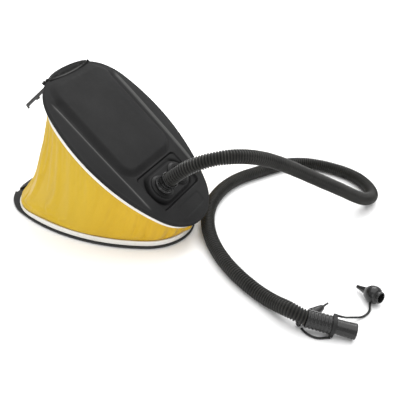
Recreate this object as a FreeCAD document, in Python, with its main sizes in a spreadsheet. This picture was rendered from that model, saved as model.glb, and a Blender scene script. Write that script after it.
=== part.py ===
import FreeCAD, Part
import math
import os

import Sketcher
from FreeCAD import Placement, Rotation, Vector

# Bellows foot pump: two oval plates joined by a hinge, with a fabric bellows and a return spring
# between them, two valve ports on the treadle, a hose with an end nozzle and two tethered adaptors.
# Frame: origin on the floor under the middle of the base plate, +X towards the hinge end,
# +Y towards the hose loop, +Z up. The treadle is shown fully raised.

doc = FreeCAD.newDocument("foot_pump")

# Driving dimensions in mm and degrees. An inset is measured inwards from a plan outline.
SIZE = {
    # plan outline shared by both plates
    "plate_length": 280.0, "plate_width": 196.0, "side_radius": 240.0,
    "hinge_end_radius": 74.0, "corner_radius": 68.0, "free_end_radius": 700.0,
    # plan outline of the fabric and everything inside it
    "fabric_free_end": 125.5, "fabric_corner_radius": 64.0, "fabric_end_radius": 400.0,
    # hinge
    "hinge_x": 122.0, "hinge_z": 18.0, "open_angle": 36.4, "pin_radius": 2.95, "pin_bore": 3.0,
    "ear_radius": 5.5, "ear_outer_in": 19.5, "ear_thick": 5.0, "ear_gap": 0.6,
    # heights of the treadle above the hinge axis, measured square to the treadle
    "rim_top": 36.0, "flange_thick": 3.0, "skirt_depth": 7.0, "deck_rise": 2.5,
    "tread_rise": 4.5, "recess_depth": 3.5, "boss_rise": 4.5, "lip_rise": 3.0, "skin": 2.5,
    "skirt_outer_inset": 5.2, "skirt_inner_inset": 7.6, "deck_inset": 3.0,
    # base plate
    "base_bottom": 1.5, "base_thick": 3.0, "base_skirt_top": 13.0, "rib_top": 9.0,
    "rib_thick": 2.0,
    # fabric and its retaining beads
    "fabric_outer_inset": 4.3, "fabric_inner_inset": 5.1,
    "bead_outer_inset": 1.6, "bead_inner_inset": 4.2, "bead_gap": 0.1,
    "lower_bead_high": 8.3, "upper_bead_high": 6.6,
    # valve ports, positions from the middle of the plate
    "port_x": 70.0, "port_y": 22.0, "port_bore": 13.0, "port_tube_radius": 15.5,
    "port_tube_low": 23.5, "boss_radius": 20.5,
    "recess_x_low": 40.0, "recess_x_high": 98.0, "recess_half": 50.0,
    # free-end notches and latches; latch_pivot_n is square to the treadle from the hinge axis
    "notch_y": 46.0, "notch_half": 1.8, "notch_in": 9.0, "lid_notch_in": 5.0,
    "latch_half": 1.3, "latch_wide": 6.0, "latch_long": 52.8, "latch_pivot_x": 130.0,
    "latch_pivot_n": 29.4, "latch_tilt": 8.0, "latch_pin_radius": 1.3, "latch_bore": 1.38,
    # spring and its seats
    "spring_x": -5.0, "coil_radius": 15.0, "wire_radius": 1.2, "coil_turns": 8.0,
    "spigot_radius": 12.8, "spigot_bore": 10.4, "spigot_high": 6.0,
    # feet
    "foot_radius": 8.0, "foot_high": 2.5, "foot_x": 88.0, "foot_y_free": 50.0,
    "foot_y_hinge": 38.0,
    # hose and nozzle
    "hose_outer": 10.2, "hose_inner": 7.9, "nozzle_outer": 9.2, "nozzle_inner": 7.4,
    "nozzle_z": 10.6, "nozzle_end_x": 404.2, "nozzle_end_y": -78.0, "nozzle_angle": 15.5,
    "nozzle_dip": 6.5, "ring_roll": 50.0, "tether_radius": 1.6,
}
sheet = doc.addObject("Spreadsheet::Sheet", "Dims")
for row, (alias, size) in enumerate(SIZE.items(), start=1):
    sheet.set(f"A{row}", alias)
    sheet.set(f"B{row}", str(size))
    sheet.setAlias(f"B{row}", alias)
doc.recompute()


class Length:
    """A length that carries both its number and the sheet formula it comes from."""

    def __init__(self, value, formula):
        self.value = float(value)
        self.formula = formula

    def __add__(self, other):
        other = as_length(other)
        return Length(self.value + other.value, f"({self.formula} + {other.formula})")

    def __sub__(self, other):
        other = as_length(other)
        return Length(self.value - other.value, f"({self.formula} - {other.formula})")

    def __mul__(self, other):
        other = as_length(other)
        return Length(self.value * other.value, f"({self.formula} * {other.formula})")

    def __truediv__(self, other):
        other = as_length(other)
        return Length(self.value / other.value, f"({self.formula} / {other.formula})")

    def __neg__(self):
        return Length(-self.value, f"(0 - {self.formula})")

    __radd__ = __add__

    def __rsub__(self, other):
        return as_length(other) - self


def as_length(number):
    if isinstance(number, Length):
        return number
    if number < 0:
        return Length(number, f"(0 - {-float(number)!r})")
    return Length(number, repr(float(number)))


class SheetLengths:
    """Attribute access to the sheet: dims.rim_top is the Length bound to Dims.rim_top."""

    def __getattr__(self, alias):
        return Length(SIZE[alias], "Dims." + alias)


dims = SheetLengths()

# Levels on the base are above the floor; levels on the treadle are above the hinge axis.
HALF_LENGTH = dims.plate_length / 2
FLOOR_TOP = dims.base_bottom + dims.base_thick
RIM = dims.rim_top
FLANGE_LOW = RIM - dims.flange_thick
DECK_TOP = RIM + dims.deck_rise
TREAD_TOP = DECK_TOP + dims.tread_rise
ROOF = TREAD_TOP - dims.skin
BOSS_TOP = dims.deck_rise - dims.recess_depth + dims.boss_rise  # above the rim
PIN_HALF = dims.ear_outer_in + dims.ear_gap + dims.ear_thick  # outer face of the base ears
OVERLAP = 0.5  # how far an added pad is sunk into the solid it joins

# Plan outlines: corner radius, free-end radius and reach towards -X. The rest is shared.
PLATE = {
    "corner": dims.corner_radius, "end_radius": dims.free_end_radius, "reach": HALF_LENGTH,
}
FABRIC = {
    "corner": dims.fabric_corner_radius, "end_radius": dims.fabric_end_radius,
    "reach": dims.fabric_free_end,
}

FOOT_CENTRES = (
    (-dims.foot_x, dims.foot_y_free), (-dims.foot_x, -dims.foot_y_free),
    (dims.foot_x, dims.foot_y_hinge), (dims.foot_x, -dims.foot_y_hinge),
    (as_length(0), as_length(0)),
)


# ---------------------------------------------------------------- placements
def lid_placement():
    """Treadle pieces are drawn shut, with z from the hinge axis, then swung open."""
    swing = Rotation(Vector(0, 1, 0), SIZE["open_angle"])
    hinge = Vector(SIZE["hinge_x"], 0, SIZE["hinge_z"])
    return Placement(hinge - swing.multVec(Vector(SIZE["hinge_x"], 0, 0)), swing)


LID = lid_placement()


def port_placement(side):
    """Axis of a valve port, with its origin in the rim plane."""
    middle = Vector(SIZE["port_x"], side * SIZE["port_y"], SIZE["rim_top"])
    return LID.multiply(Placement(middle, Rotation()))


INFLATE = port_placement(-1)
DEFLATE = port_placement(1)

# The hose end, nozzle and tether ring share one axis that points out of the nozzle.
yaw, dip, roll = (math.radians(SIZE[k]) for k in ("nozzle_angle", "nozzle_dip", "ring_roll"))
NOZZLE_AXIS = Vector(
    math.cos(dip) * math.cos(yaw), math.cos(dip) * math.sin(yaw), -math.sin(dip))
NOZZLE_TIP = Vector(SIZE["nozzle_end_x"], SIZE["nozzle_end_y"], SIZE["nozzle_z"])
level = Vector(-math.sin(yaw), math.cos(yaw), 0)
TAB_DIR = level * math.cos(roll) + NOZZLE_AXIS.cross(level) * math.sin(roll)
NOZZLE = Placement(
    NOZZLE_TIP, Rotation(TAB_DIR.cross(NOZZLE_AXIS), TAB_DIR, NOZZLE_AXIS, "ZYX"))

# ---------------------------------------------------------------- bodies and sketches
pieces = []


def new_body(label, placement=None):
    body = doc.addObject("PartDesign::Body", label)
    body.Label = label
    if placement is not None:
        body.Placement = placement
    pieces.append(body)
    return body


def lid_body(label):
    """A body that swings with the treadle."""
    body = new_body(label, LID)
    body.setExpression("Placement.Rotation.Angle", "Dims.open_angle")
    body.setExpression("Placement.Base.x", "Dims.hinge_x * (1 - cos(Dims.open_angle * 1 deg))")
    body.setExpression(
        "Placement.Base.z", "Dims.hinge_z + Dims.hinge_x * sin(Dims.open_angle * 1 deg)")
    return body


def new_feature(label, shape):
    feature = doc.addObject("Part::Feature", label)
    feature.Label = label
    feature.Shape = shape
    pieces.append(feature)


def origin_feature(body, role):
    for feature in body.Origin.OriginFeatures:
        if getattr(feature, "Role", "") == role:
            return feature
    raise RuntimeError(role)


def new_sketch(body, role="XY_Plane", offset=None, stem="sk"):
    """A sketch on an origin plane. The normal of XZ_Plane is -Y, so its offsets run to -Y."""
    number = len(doc.findObjects("Sketcher::SketchObject")) + 1
    sketch = body.newObject("Sketcher::SketchObject", f"{body.Name}_{stem}{number}")
    sketch.AttachmentSupport = [(origin_feature(body, role), "")]
    sketch.MapMode = "FlatFace"
    if offset is not None:
        offset = as_length(offset)
        sketch.AttachmentOffset = Placement(Vector(0, 0, offset.value), Rotation())
        sketch.setExpression("AttachmentOffset.Base.z", offset.formula)
    return sketch


def relate(sketch, kind, *refs):
    return sketch.addConstraint(Sketcher.Constraint(kind, *refs))


def chain(sketch, kind, edges):
    """Join the end of each edge to the start of the next, round a closed loop."""
    for i, edge in enumerate(edges):
        relate(sketch, kind, edge, 2, edges[(i + 1) % len(edges)], 1)


def dimension(sketch, kind, edge, point, length):
    """Distance of a point from the sketch origin. The direction of measuring follows the sign."""
    length = as_length(length)
    if abs(length.value) < 1e-9:
        relate(sketch, "PointOnObject", edge, point, -2 if kind == "DistanceX" else -1)
    elif length.value > 0:
        index = relate(sketch, kind, -1, 1, edge, point, length.value)
        sketch.setExpression(f"Constraints[{index}]", length.formula)
    else:
        index = relate(sketch, kind, edge, point, -1, 1, -length.value)
        sketch.setExpression(f"Constraints[{index}]", (-length).formula)


def locate(sketch, edge, point, x, y):
    dimension(sketch, "DistanceX", edge, point, x)
    dimension(sketch, "DistanceY", edge, point, y)


def set_radius(sketch, edge, radius):
    radius = as_length(radius)
    index = relate(sketch, "Radius", edge, radius.value)
    sketch.setExpression(f"Constraints[{index}]", radius.formula)


def flat_vector(x, y):
    return Vector(as_length(x).value, as_length(y).value, 0)


def flat_arc(x, y, radius, start, end):
    """An arc about (x, y) between two angles in radians."""
    full = Part.Circle(flat_vector(x, y), Vector(0, 0, 1), as_length(radius).value)
    return Part.ArcOfCircle(full, start, end)


def add_line(sketch, start, end):
    return sketch.addGeometry(Part.LineSegment(flat_vector(*start), flat_vector(*end)), False)


def circle(sketch, x, y, radius):
    radius = as_length(radius)
    full = Part.Circle(flat_vector(x, y), Vector(0, 0, 1), radius.value)
    edge = sketch.addGeometry(full, False)
    locate(sketch, edge, 3, x, y)
    set_radius(sketch, edge, radius)


def polygon(sketch, points):
    edges = [add_line(sketch, point, points[(i + 1) % len(points)])
             for i, point in enumerate(points)]
    chain(sketch, "Coincident", edges)
    for edge, (x, y) in zip(edges, points):
        locate(sketch, edge, 1, x, y)


def rectangle(sketch, x0, y0, x1, y1):
    polygon(sketch, [(x0, y0), (x1, y0), (x1, y1), (x0, y1)])


def round_rectangle(sketch, x0, y0, x1, y1, corner):
    x0, y0, x1, y1 = map(as_length, (x0, y0, x1, y1))
    left, right, low, high = x0 + corner, x1 - corner, y0 + corner, y1 - corner
    centres = [(left, low), (right, low), (right, high), (left, high)]
    arcs = []
    for (x, y), quarter in zip(centres, (2, 3, 0, 1)):
        start = quarter * math.pi / 2
        arc = flat_arc(x, y, corner, start, start + math.pi / 2)
        arcs.append(sketch.addGeometry(arc, False))
    sides = [((left, y0), (right, y0)), ((x1, low), (x1, high)),
             ((right, y1), (left, y1)), ((x0, high), (x0, low))]
    lines = [add_line(sketch, start, end) for start, end in sides]
    for i in range(4):
        relate(sketch, "Tangent", arcs[i], 2, lines[i], 1)
        relate(sketch, "Tangent", lines[i], 2, arcs[(i + 1) % 4], 1)
        locate(sketch, arcs[i], 3, *centres[i])
    set_radius(sketch, arcs[0], corner)


# ---------------------------------------------------------------- plan outline
def outline_arcs(outline, inset):
    """Six tangent arcs of a plan outline moved inwards, anticlockwise from the hinge end."""
    hinge_end, side = SIZE["hinge_end_radius"], SIZE["side_radius"]
    corner, free_end = outline["corner"].value, outline["end_radius"].value
    # centres of the hinge-end, +Y side and free-end arcs
    hinge_x = SIZE["plate_length"] / 2 - hinge_end
    side_y = SIZE["plate_width"] / 2 - side
    side_x = hinge_x - math.sqrt((side - hinge_end) ** 2 - side_y ** 2)
    end_x = free_end - outline["reach"].value
    # the corner arc touches the side and free-end arcs from inside
    to_side, to_end = side - corner, free_end - corner
    step_x, step_y = end_x - side_x, -side_y
    gap = math.hypot(step_x, step_y)
    along = (to_side ** 2 - to_end ** 2 + gap ** 2) / (2 * gap)
    across = math.sqrt(to_side ** 2 - along ** 2)
    corner_x = side_x + (along * step_x - across * step_y) / gap
    corner_y = side_y + (along * step_y + across * step_x) / gap
    # angles of the three junctions on the +Y half
    hinge_turn = math.atan2(-side_y, hinge_x - side_x)
    side_turn = math.atan2(corner_y - side_y, corner_x - side_x)
    end_turn = math.atan2(corner_y, corner_x - end_x)
    return [
        flat_arc(hinge_x, 0, hinge_end - inset, -hinge_turn, hinge_turn),
        flat_arc(side_x, side_y, side - inset, hinge_turn, side_turn),
        flat_arc(corner_x, corner_y, corner - inset, side_turn, end_turn),
        flat_arc(end_x, 0, free_end - inset, end_turn, 2 * math.pi - end_turn),
        flat_arc(corner_x, -corner_y, corner - inset, -end_turn, -side_turn),
        flat_arc(side_x, -side_y, side - inset, -side_turn, -hinge_turn),
    ]


def oval(sketch, outline, inset):
    inset = as_length(inset)
    arcs = [sketch.addGeometry(arc, False) for arc in outline_arcs(outline, inset.value)]
    chain(sketch, "Tangent", arcs)
    radii = (dims.hinge_end_radius, dims.side_radius, outline["corner"],
             outline["end_radius"], outline["corner"], dims.side_radius)
    for arc, radius in zip(arcs, radii):
        set_radius(sketch, arc, radius - inset)
    locate(sketch, arcs[0], 3, HALF_LENGTH - dims.hinge_end_radius, 0)
    locate(sketch, arcs[3], 3, outline["end_radius"] - outline["reach"], 0)
    dimension(sketch, "DistanceY", arcs[1], 3, dims.plate_width / 2 - dims.side_radius)
    dimension(sketch, "DistanceY", arcs[5], 3, dims.side_radius - dims.plate_width / 2)


# ---------------------------------------------------------------- solid features
def pad(body, sketch, length, reverse=False):
    length = as_length(length)
    feature = body.newObject("PartDesign::Pad", sketch.Name + "_pad")
    feature.Profile = sketch
    feature.Length = length.value
    feature.setExpression("Length", length.formula)
    feature.Reversed = reverse
    sketch.Visibility = False
    return feature


def cut(body, sketch, length=None, reverse=False):
    """Pocket through everything, or to a length. A cut that misses the solid raises no error,
    so the volume is compared, and the cut is turned round if nothing was removed."""
    doc.recompute()
    before = body.Shape.Volume
    feature = body.newObject("PartDesign::Pocket", sketch.Name + "_cut")
    feature.Profile = sketch
    if length is None:
        feature.Type = 1
    else:
        length = as_length(length)
        feature.Length = length.value
        feature.setExpression("Length", length.formula)
    feature.Reversed = reverse
    sketch.Visibility = False
    doc.recompute()
    if not body.Shape.Volume < before - 1e-3:
        feature.Reversed = not feature.Reversed
        doc.recompute()
    if not body.Shape.Volume < before - 1e-3:
        raise RuntimeError("cut removed nothing: " + feature.Name)
    return feature


def chamfer(body, base, level_z, size):
    """Chamfer every edge that lies flat at one level."""
    doc.recompute()
    names = []
    for number, edge in enumerate(base.Shape.Edges, start=1):
        box = edge.BoundBox
        if abs(box.ZMin - level_z.value) < 1e-3 and abs(box.ZMax - level_z.value) < 1e-3:
            names.append(f"Edge{number}")
    if not names:
        raise RuntimeError("no edges for chamfer on " + body.Name)
    feature = body.newObject("PartDesign::Chamfer", base.Name + "_chamfer")
    feature.Base = (base, names)
    feature.Size = size


def repeat_along_x(body, name, original, pitch, count):
    doc.recompute()
    pattern = body.newObject("PartDesign::LinearPattern", name)
    pattern.Originals = [original]
    pattern.Direction = (origin_feature(body, "X_Axis"), [""])
    pattern.Length = pitch * (count - 1)
    pattern.Occurrences = count
    body.Tip = pattern
    doc.recompute()


def turned(label, points, placement):
    """A turned piece: its half section is (radius, height) and its axis is the local Z axis."""
    body = new_body(label, placement)
    sketch = new_sketch(body, "XZ_Plane")
    polygon(sketch, points)
    feature = body.newObject("PartDesign::Revolution", sketch.Name + "_rev")
    feature.Profile = sketch
    feature.ReferenceAxis = (sketch, ["V_Axis"])
    feature.Angle = 360
    sketch.Visibility = False
    return body


def block(body, start, x0, y0, x1, y1, height):
    sketch = new_sketch(body, "XY_Plane", start)
    rectangle(sketch, x0, y0, x1, y1)
    return pad(body, sketch, height)


def oval_plate(body, start, outline, inset, height):
    sketch = new_sketch(body, "XY_Plane", start)
    oval(sketch, outline, inset)
    return pad(body, sketch, height)


def oval_ring(body, start, outer_inset, inner_inset, height):
    sketch = new_sketch(body, "XY_Plane", start)
    oval(sketch, FABRIC, outer_inset)
    oval(sketch, FABRIC, inner_inset)
    pad(body, sketch, height)


def long_rib(body, start, x0, x1, y, height):
    half = dims.rib_thick / 2
    block(body, start, x0, y - half, x1, y + half, height)


def cross_rib(body, start, x, half_width, height):
    half = dims.rib_thick / 2
    return block(body, start, x - half, -half_width, x + half, half_width, height)


def spring_seat(body, start):
    sketch = new_sketch(body, "XY_Plane", start)
    circle(sketch, dims.spring_x, 0, dims.spigot_radius)
    circle(sketch, dims.spring_x, 0, dims.spigot_bore)
    pad(body, sketch, dims.spigot_high + OVERLAP)


# Half of the free-end lip: (inset from the plate end, distance from the middle line)
LIP_HALF = [(1.2, 18), (2.4, 33), (4.6, 42), (9.6, 42), (7.4, 33), (6.2, 18)]


def free_end_lip(body, surface):
    sketch = new_sketch(body, "XY_Plane", surface - OVERLAP)
    points = [(-(HALF_LENGTH - inset), -y) for inset, y in LIP_HALF]
    points += [(-(HALF_LENGTH - inset), y) for inset, y in reversed(LIP_HALF)]
    polygon(sketch, points)
    pad(body, sketch, dims.lip_rise + OVERLAP)


def on_side(side, y0, y1):
    """The y range, or its mirror image when side is -1."""
    return (y0, y1) if side > 0 else (-y1, -y0)


def notches(body, start, depth):
    """The two free-end notches, open to the outside."""
    for side in (1, -1):
        y0, y1 = on_side(side, dims.notch_y - dims.notch_half, dims.notch_y + dims.notch_half)
        sketch = new_sketch(body, "XY_Plane", start)
        rectangle(sketch, -(HALF_LENGTH + 2), y0, -(HALF_LENGTH - depth), y1)
        cut(body, sketch)


def hinge_ear(body, offset, reverse, axis_z, root_z):
    """A bored ear, rounded about the hinge axis and square at its root."""
    sketch = new_sketch(body, "XZ_Plane", offset)
    low_x, high_x = dims.hinge_x - dims.ear_radius, dims.hinge_x + dims.ear_radius
    hanging = root_z.value > axis_z.value
    start = math.pi if hanging else 0
    high_side = add_line(sketch, (high_x, axis_z), (high_x, root_z))
    root = add_line(sketch, (high_x, root_z), (low_x, root_z))
    low_side = add_line(sketch, (low_x, root_z), (low_x, axis_z))
    arc = flat_arc(dims.hinge_x, axis_z, dims.ear_radius, start, start + math.pi)
    nose = sketch.addGeometry(arc, False)
    low_end, high_end = (1, 2) if hanging else (2, 1)
    relate(sketch, "Coincident", high_side, 2, root, 1)
    relate(sketch, "Coincident", root, 2, low_side, 1)
    relate(sketch, "Tangent", low_side, 2, nose, low_end)
    relate(sketch, "Tangent", nose, high_end, high_side, 1)
    relate(sketch, "Horizontal", root)
    locate(sketch, nose, 3, dims.hinge_x, axis_z)
    set_radius(sketch, nose, dims.ear_radius)
    dimension(sketch, "DistanceY", root, 1, root_z)
    circle(sketch, dims.hinge_x, axis_z, dims.pin_bore)
    pad(body, sketch, dims.ear_thick, reverse)


# ---------------------------------------------------------------- base plate
def base_plate():
    body = new_body("base_plate")
    floor = oval_plate(body, dims.base_bottom, PLATE, 0, dims.base_thick)
    chamfer(body, floor, FLOOR_TOP, 0.8)
    root = FLOOR_TOP - OVERLAP
    oval_ring(body, root, dims.skirt_outer_inset, dims.skirt_inner_inset,
              dims.base_skirt_top - root)
    free_end_lip(body, FLOOR_TOP)
    # stiffening ribs on the floor: y, x from, x to
    rib_height = dims.rib_top - root
    for y, x0, x1 in ((-62, -96, 62), (-34, -112, 100), (34, -112, 100), (62, -96, 62)):
        long_rib(body, root, x0, x1, y, rib_height)
    first = cross_rib(body, root, -85, 78, rib_height)
    repeat_along_x(body, "base_ribs", first, pitch=55, count=3)
    spring_seat(body, root)
    # the outer pair of hinge ears; the inner pair belongs to the treadle
    for side in (1, -1):
        offset = (dims.ear_outer_in + dims.ear_gap) * -side
        hinge_ear(body, offset, side > 0, dims.hinge_z, root)
    notches(body, dims.base_bottom - 1, dims.notch_in)
    # foot sockets
    for x, y in FOOT_CENTRES:
        sketch = new_sketch(body, "XY_Plane", dims.base_bottom - 0.5)
        circle(sketch, x, y, dims.foot_radius + 0.05)
        cut(body, sketch, 1.5, reverse=True)
    doc.recompute()


# ---------------------------------------------------------------- treadle
def tread_panel(body):
    """A raised panel with sloping sides."""
    low = new_sketch(body, "XY_Plane", DECK_TOP - 0.2, "tread_low")
    round_rectangle(low, -117, -66, 36, 66, 28)
    high = new_sketch(body, "XY_Plane", TREAD_TOP, "tread_high")
    round_rectangle(high, -110, -53, 25, 53, 15)
    loft = body.newObject("PartDesign::AdditiveLoft", "tread_loft")
    loft.Profile = low
    loft.Sections = [high]
    loft.Ruled = True
    doc.recompute()


def port_boss(body):
    """A recess around the valve ports and the round-ended boss in it."""
    sketch = new_sketch(body, "XY_Plane", DECK_TOP)
    round_rectangle(sketch, dims.recess_x_low, -dims.recess_half,
                    dims.recess_x_high, dims.recess_half, 8)
    cut(body, sketch, dims.recess_depth)

    sink = 0.3
    sketch = new_sketch(body, "XY_Plane", DECK_TOP - dims.recess_depth - sink)
    x, y, radius = dims.port_x, dims.port_y, dims.boss_radius
    far_arc = sketch.addGeometry(flat_arc(x, y, radius, 0, math.pi), False)
    near_arc = sketch.addGeometry(flat_arc(x, -y, radius, math.pi, 2 * math.pi), False)
    low_side = add_line(sketch, (x - radius, y), (x - radius, -y))
    high_side = add_line(sketch, (x + radius, -y), (x + radius, y))
    chain(sketch, "Tangent", [far_arc, low_side, near_arc, high_side])
    locate(sketch, far_arc, 3, x, y)
    dimension(sketch, "DistanceY", near_arc, 3, -y)
    set_radius(sketch, far_arc, radius)
    boss = pad(body, sketch, dims.boss_rise + sink)
    chamfer(body, boss, RIM + BOSS_TOP, 1.2)


def latch_lugs(body):
    """Lugs below the flange on both sides of each notch."""
    drop, thick = 2.8, 2.6
    notch_low = dims.notch_y - dims.notch_half
    notch_high = dims.notch_y + dims.notch_half
    start = dims.latch_pivot_n - drop
    for side in (1, -1):
        for span in ((notch_high, notch_high + thick), (notch_low - thick, notch_low)):
            y0, y1 = on_side(side, *span)
            block(body, start, -(dims.latch_pivot_x + 2.8), y0,
                  -(dims.latch_pivot_x - 3.2), y1, FLANGE_LOW - start + OVERLAP)


def top_plate():
    body = lid_body("top_plate")
    flange = oval_plate(body, FLANGE_LOW, PLATE, 0, dims.flange_thick)
    chamfer(body, flange, RIM, 0.8)
    # skirt that carries the fabric hem
    oval_ring(body, FLANGE_LOW - dims.skirt_depth, dims.skirt_outer_inset,
              dims.skirt_inner_inset, dims.skirt_depth + OVERLAP)
    deck = oval_plate(body, RIM - OVERLAP, FABRIC, dims.deck_inset, dims.deck_rise + OVERLAP)
    chamfer(body, deck, DECK_TOP, 1.6)
    tread_panel(body)
    port_boss(body)
    # valve housings hang inside
    for side in (1, -1):
        sketch = new_sketch(body, "XY_Plane", dims.port_tube_low)
        circle(sketch, dims.port_x, dims.port_y * side, dims.port_tube_radius)
        pad(body, sketch, FLANGE_LOW - dims.port_tube_low + 1)
    # hollow under the tread
    hollow_low = FLANGE_LOW - 1
    sketch = new_sketch(body, "XY_Plane", hollow_low)
    round_rectangle(sketch, -107, -50, 22, 50, 12)
    cut(body, sketch, ROOF - hollow_low, reverse=True)
    # port bores
    for side in (1, -1):
        sketch = new_sketch(body, "XY_Plane", dims.port_tube_low - 1)
        circle(sketch, dims.port_x, dims.port_y * side, dims.port_bore)
        cut(body, sketch, 30, reverse=True)
    # ribs and spring seat under the tread
    rib_depth = 5
    for y in (-30, 30):
        long_rib(body, ROOF - rib_depth, -108, 23, y, rib_depth + OVERLAP)
    first = cross_rib(body, ROOF - rib_depth, -90, 51, rib_depth + OVERLAP)
    repeat_along_x(body, "tread_ribs", first, pitch=30, count=3)
    spring_seat(body, ROOF - dims.spigot_high)
    # the inner pair of hinge ears hangs from the flange
    for side in (1, -1):
        offset = dims.ear_outer_in * -side
        hinge_ear(body, offset, side < 0, as_length(0), FLANGE_LOW + OVERLAP)
    free_end_lip(body, RIM)
    latch_lugs(body)
    notches(body, RIM + 8, dims.lid_notch_in)
    # one cut bores the latch pivots through all the lugs
    sketch = new_sketch(body, "XZ_Plane", -60)
    circle(sketch, -dims.latch_pivot_x, dims.latch_pivot_n, dims.latch_bore)
    cut(body, sketch, 120)
    doc.recompute()


# ---------------------------------------------------------------- bellows and its beads
def beads():
    """The rings that clamp the fabric hems."""
    insets = (dims.bead_outer_inset, dims.bead_inner_inset)
    oval_ring(new_body("lower_bead"), FLOOR_TOP + dims.bead_gap, *insets, dims.lower_bead_high)
    oval_ring(lid_body("upper_bead"), FLANGE_LOW - dims.bead_gap - dims.upper_bead_high,
              *insets, dims.upper_bead_high)
    doc.recompute()


def fabric_wire(inset, placement):
    wire = Part.Wire([arc.toShape() for arc in outline_arcs(FABRIC, inset)])
    wire.Placement = placement
    return wire


def fabric_solid(inset):
    """Three ruled lofts: up the base skirt, across the opening, and up the treadle skirt."""
    end_gap, skirt_gap = 0.1, 0.2
    stations = [Placement(Vector(0, 0, z), Rotation()) for z in (
        FLOOR_TOP.value + end_gap, SIZE["base_skirt_top"] + skirt_gap)]
    stations += [LID.multiply(Placement(Vector(0, 0, z), Rotation())) for z in (
        FLANGE_LOW.value - SIZE["skirt_depth"] - skirt_gap, FLANGE_LOW.value - end_gap)]
    low, middle, top = [
        Part.makeLoft([fabric_wire(inset, start), fabric_wire(inset, end)], True, True)
        for start, end in zip(stations, stations[1:])]
    return low.fuse([middle, top])


def bellows():
    outside = fabric_solid(SIZE["fabric_outer_inset"])
    inside = fabric_solid(SIZE["fabric_inner_inset"])
    cloth = outside.cut(inside).removeSplitter()
    # a lone solid is taken out of its compound; several are kept together
    new_feature("bellows", cloth.Solids[0] if len(cloth.Solids) == 1 else cloth)


# ---------------------------------------------------------------- hinge pin and washer
def hinge_pin():
    """The pin and its push-on washer. Their local Z axis runs to +Y along the hinge."""
    along_hinge = Placement(Vector(SIZE["hinge_x"], 0, SIZE["hinge_z"]),
                            Rotation(Vector(1, 0, 0), -90))
    radius = dims.pin_radius
    turned("hinge_pin", [
        (0, -(PIN_HALF + 3.2)), (radius + 1.6, -(PIN_HALF + 3.2)),
        (radius + 1.6, -(PIN_HALF + 0.3)), (radius, -(PIN_HALF + 0.3)),
        (radius, PIN_HALF + 3.0), (radius - 0.6, PIN_HALF + 3.6), (0, PIN_HALF + 3.6),
    ], along_hinge)
    turned("pin_washer", [
        (radius + 0.02, PIN_HALF + 0.3), (radius + 3.0, PIN_HALF + 0.3),
        (radius + 3.0, PIN_HALF + 1.1), (radius + 1.0, PIN_HALF + 1.7),
        (radius + 0.02, PIN_HALF + 1.7),
    ], along_hinge)


# ---------------------------------------------------------------- return spring
def round_wire(label, points, radius):
    """A round section swept along a smooth curve through the points."""
    points = [Vector(*point) for point in points]
    curve = Part.BSplineCurve()
    curve.interpolate(points)
    spine = Part.Wire([curve.toShape()])
    tangent = curve.tangent(curve.FirstParameter)[0]
    section = Part.Wire([Part.Circle(points[0], tangent, radius).toShape()])
    new_feature(label, spine.makePipeShell([section], True, False))


def coil_advance(share):
    """Position along the centre line for a share of the coil. The end coils are closed."""
    end_share = 0.11
    end_advance = 0.02475
    if share < end_share:
        return end_advance * share / end_share
    if share > 1 - end_share:
        return 1 - end_advance * (1 - share) / end_share
    middle = (share - end_share) / (1 - 2 * end_share)
    return end_advance + (1 - 2 * end_advance) * middle


def return_spring():
    """A coil whose centre line is a cubic curve, square to both plates."""
    seat_gap = SIZE["wire_radius"] + 0.15
    foot = Vector(SIZE["spring_x"], 0, FLOOR_TOP.value + seat_gap)
    head = LID.multVec(Vector(SIZE["spring_x"], 0, ROOF.value - seat_gap))
    reach = (head - foot).Length * 0.36
    foot_pull = foot + Vector(0, 0, reach)
    head_pull = head + LID.Rotation.multVec(Vector(0, 0, -1)) * reach
    side = Vector(0, 1, 0)
    steps = int(SIZE["coil_turns"] * 20)
    points = []
    for i in range(steps + 1):
        share = i / steps
        t = coil_advance(share)
        u = 1 - t
        centre = (foot * (u ** 3) + foot_pull * (3 * u * u * t)
                  + head_pull * (3 * u * t * t) + head * (t ** 3))
        along = ((foot_pull - foot) * (3 * u * u) + (head_pull - foot_pull) * (6 * u * t)
                 + (head - head_pull) * (3 * t * t))
        along.normalize()
        turn = 2 * math.pi * SIZE["coil_turns"] * share
        points.append(centre + side * (SIZE["coil_radius"] * math.cos(turn))
                      + side.cross(along) * (SIZE["coil_radius"] * math.sin(turn)))
    round_wire("return_spring", points, SIZE["wire_radius"])


# ---------------------------------------------------------------- rubber feet
def rubber_feet():
    feet = []
    for i, (x, y) in enumerate(FOOT_CENTRES):
        foot = doc.addObject("Part::Cylinder", f"foot_{i}")
        foot.setExpression("Radius", "Dims.foot_radius")
        foot.setExpression("Height", "Dims.foot_high")
        foot.setExpression("Placement.Base.x", x.formula)
        foot.setExpression("Placement.Base.y", y.formula)
        feet.append(foot)
    doc.recompute()
    fused = doc.addObject("Part::MultiFuse", "rubber_feet")
    fused.Label = "rubber_feet"
    fused.Shapes = feet
    pieces.append(fused)
    doc.recompute()


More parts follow.
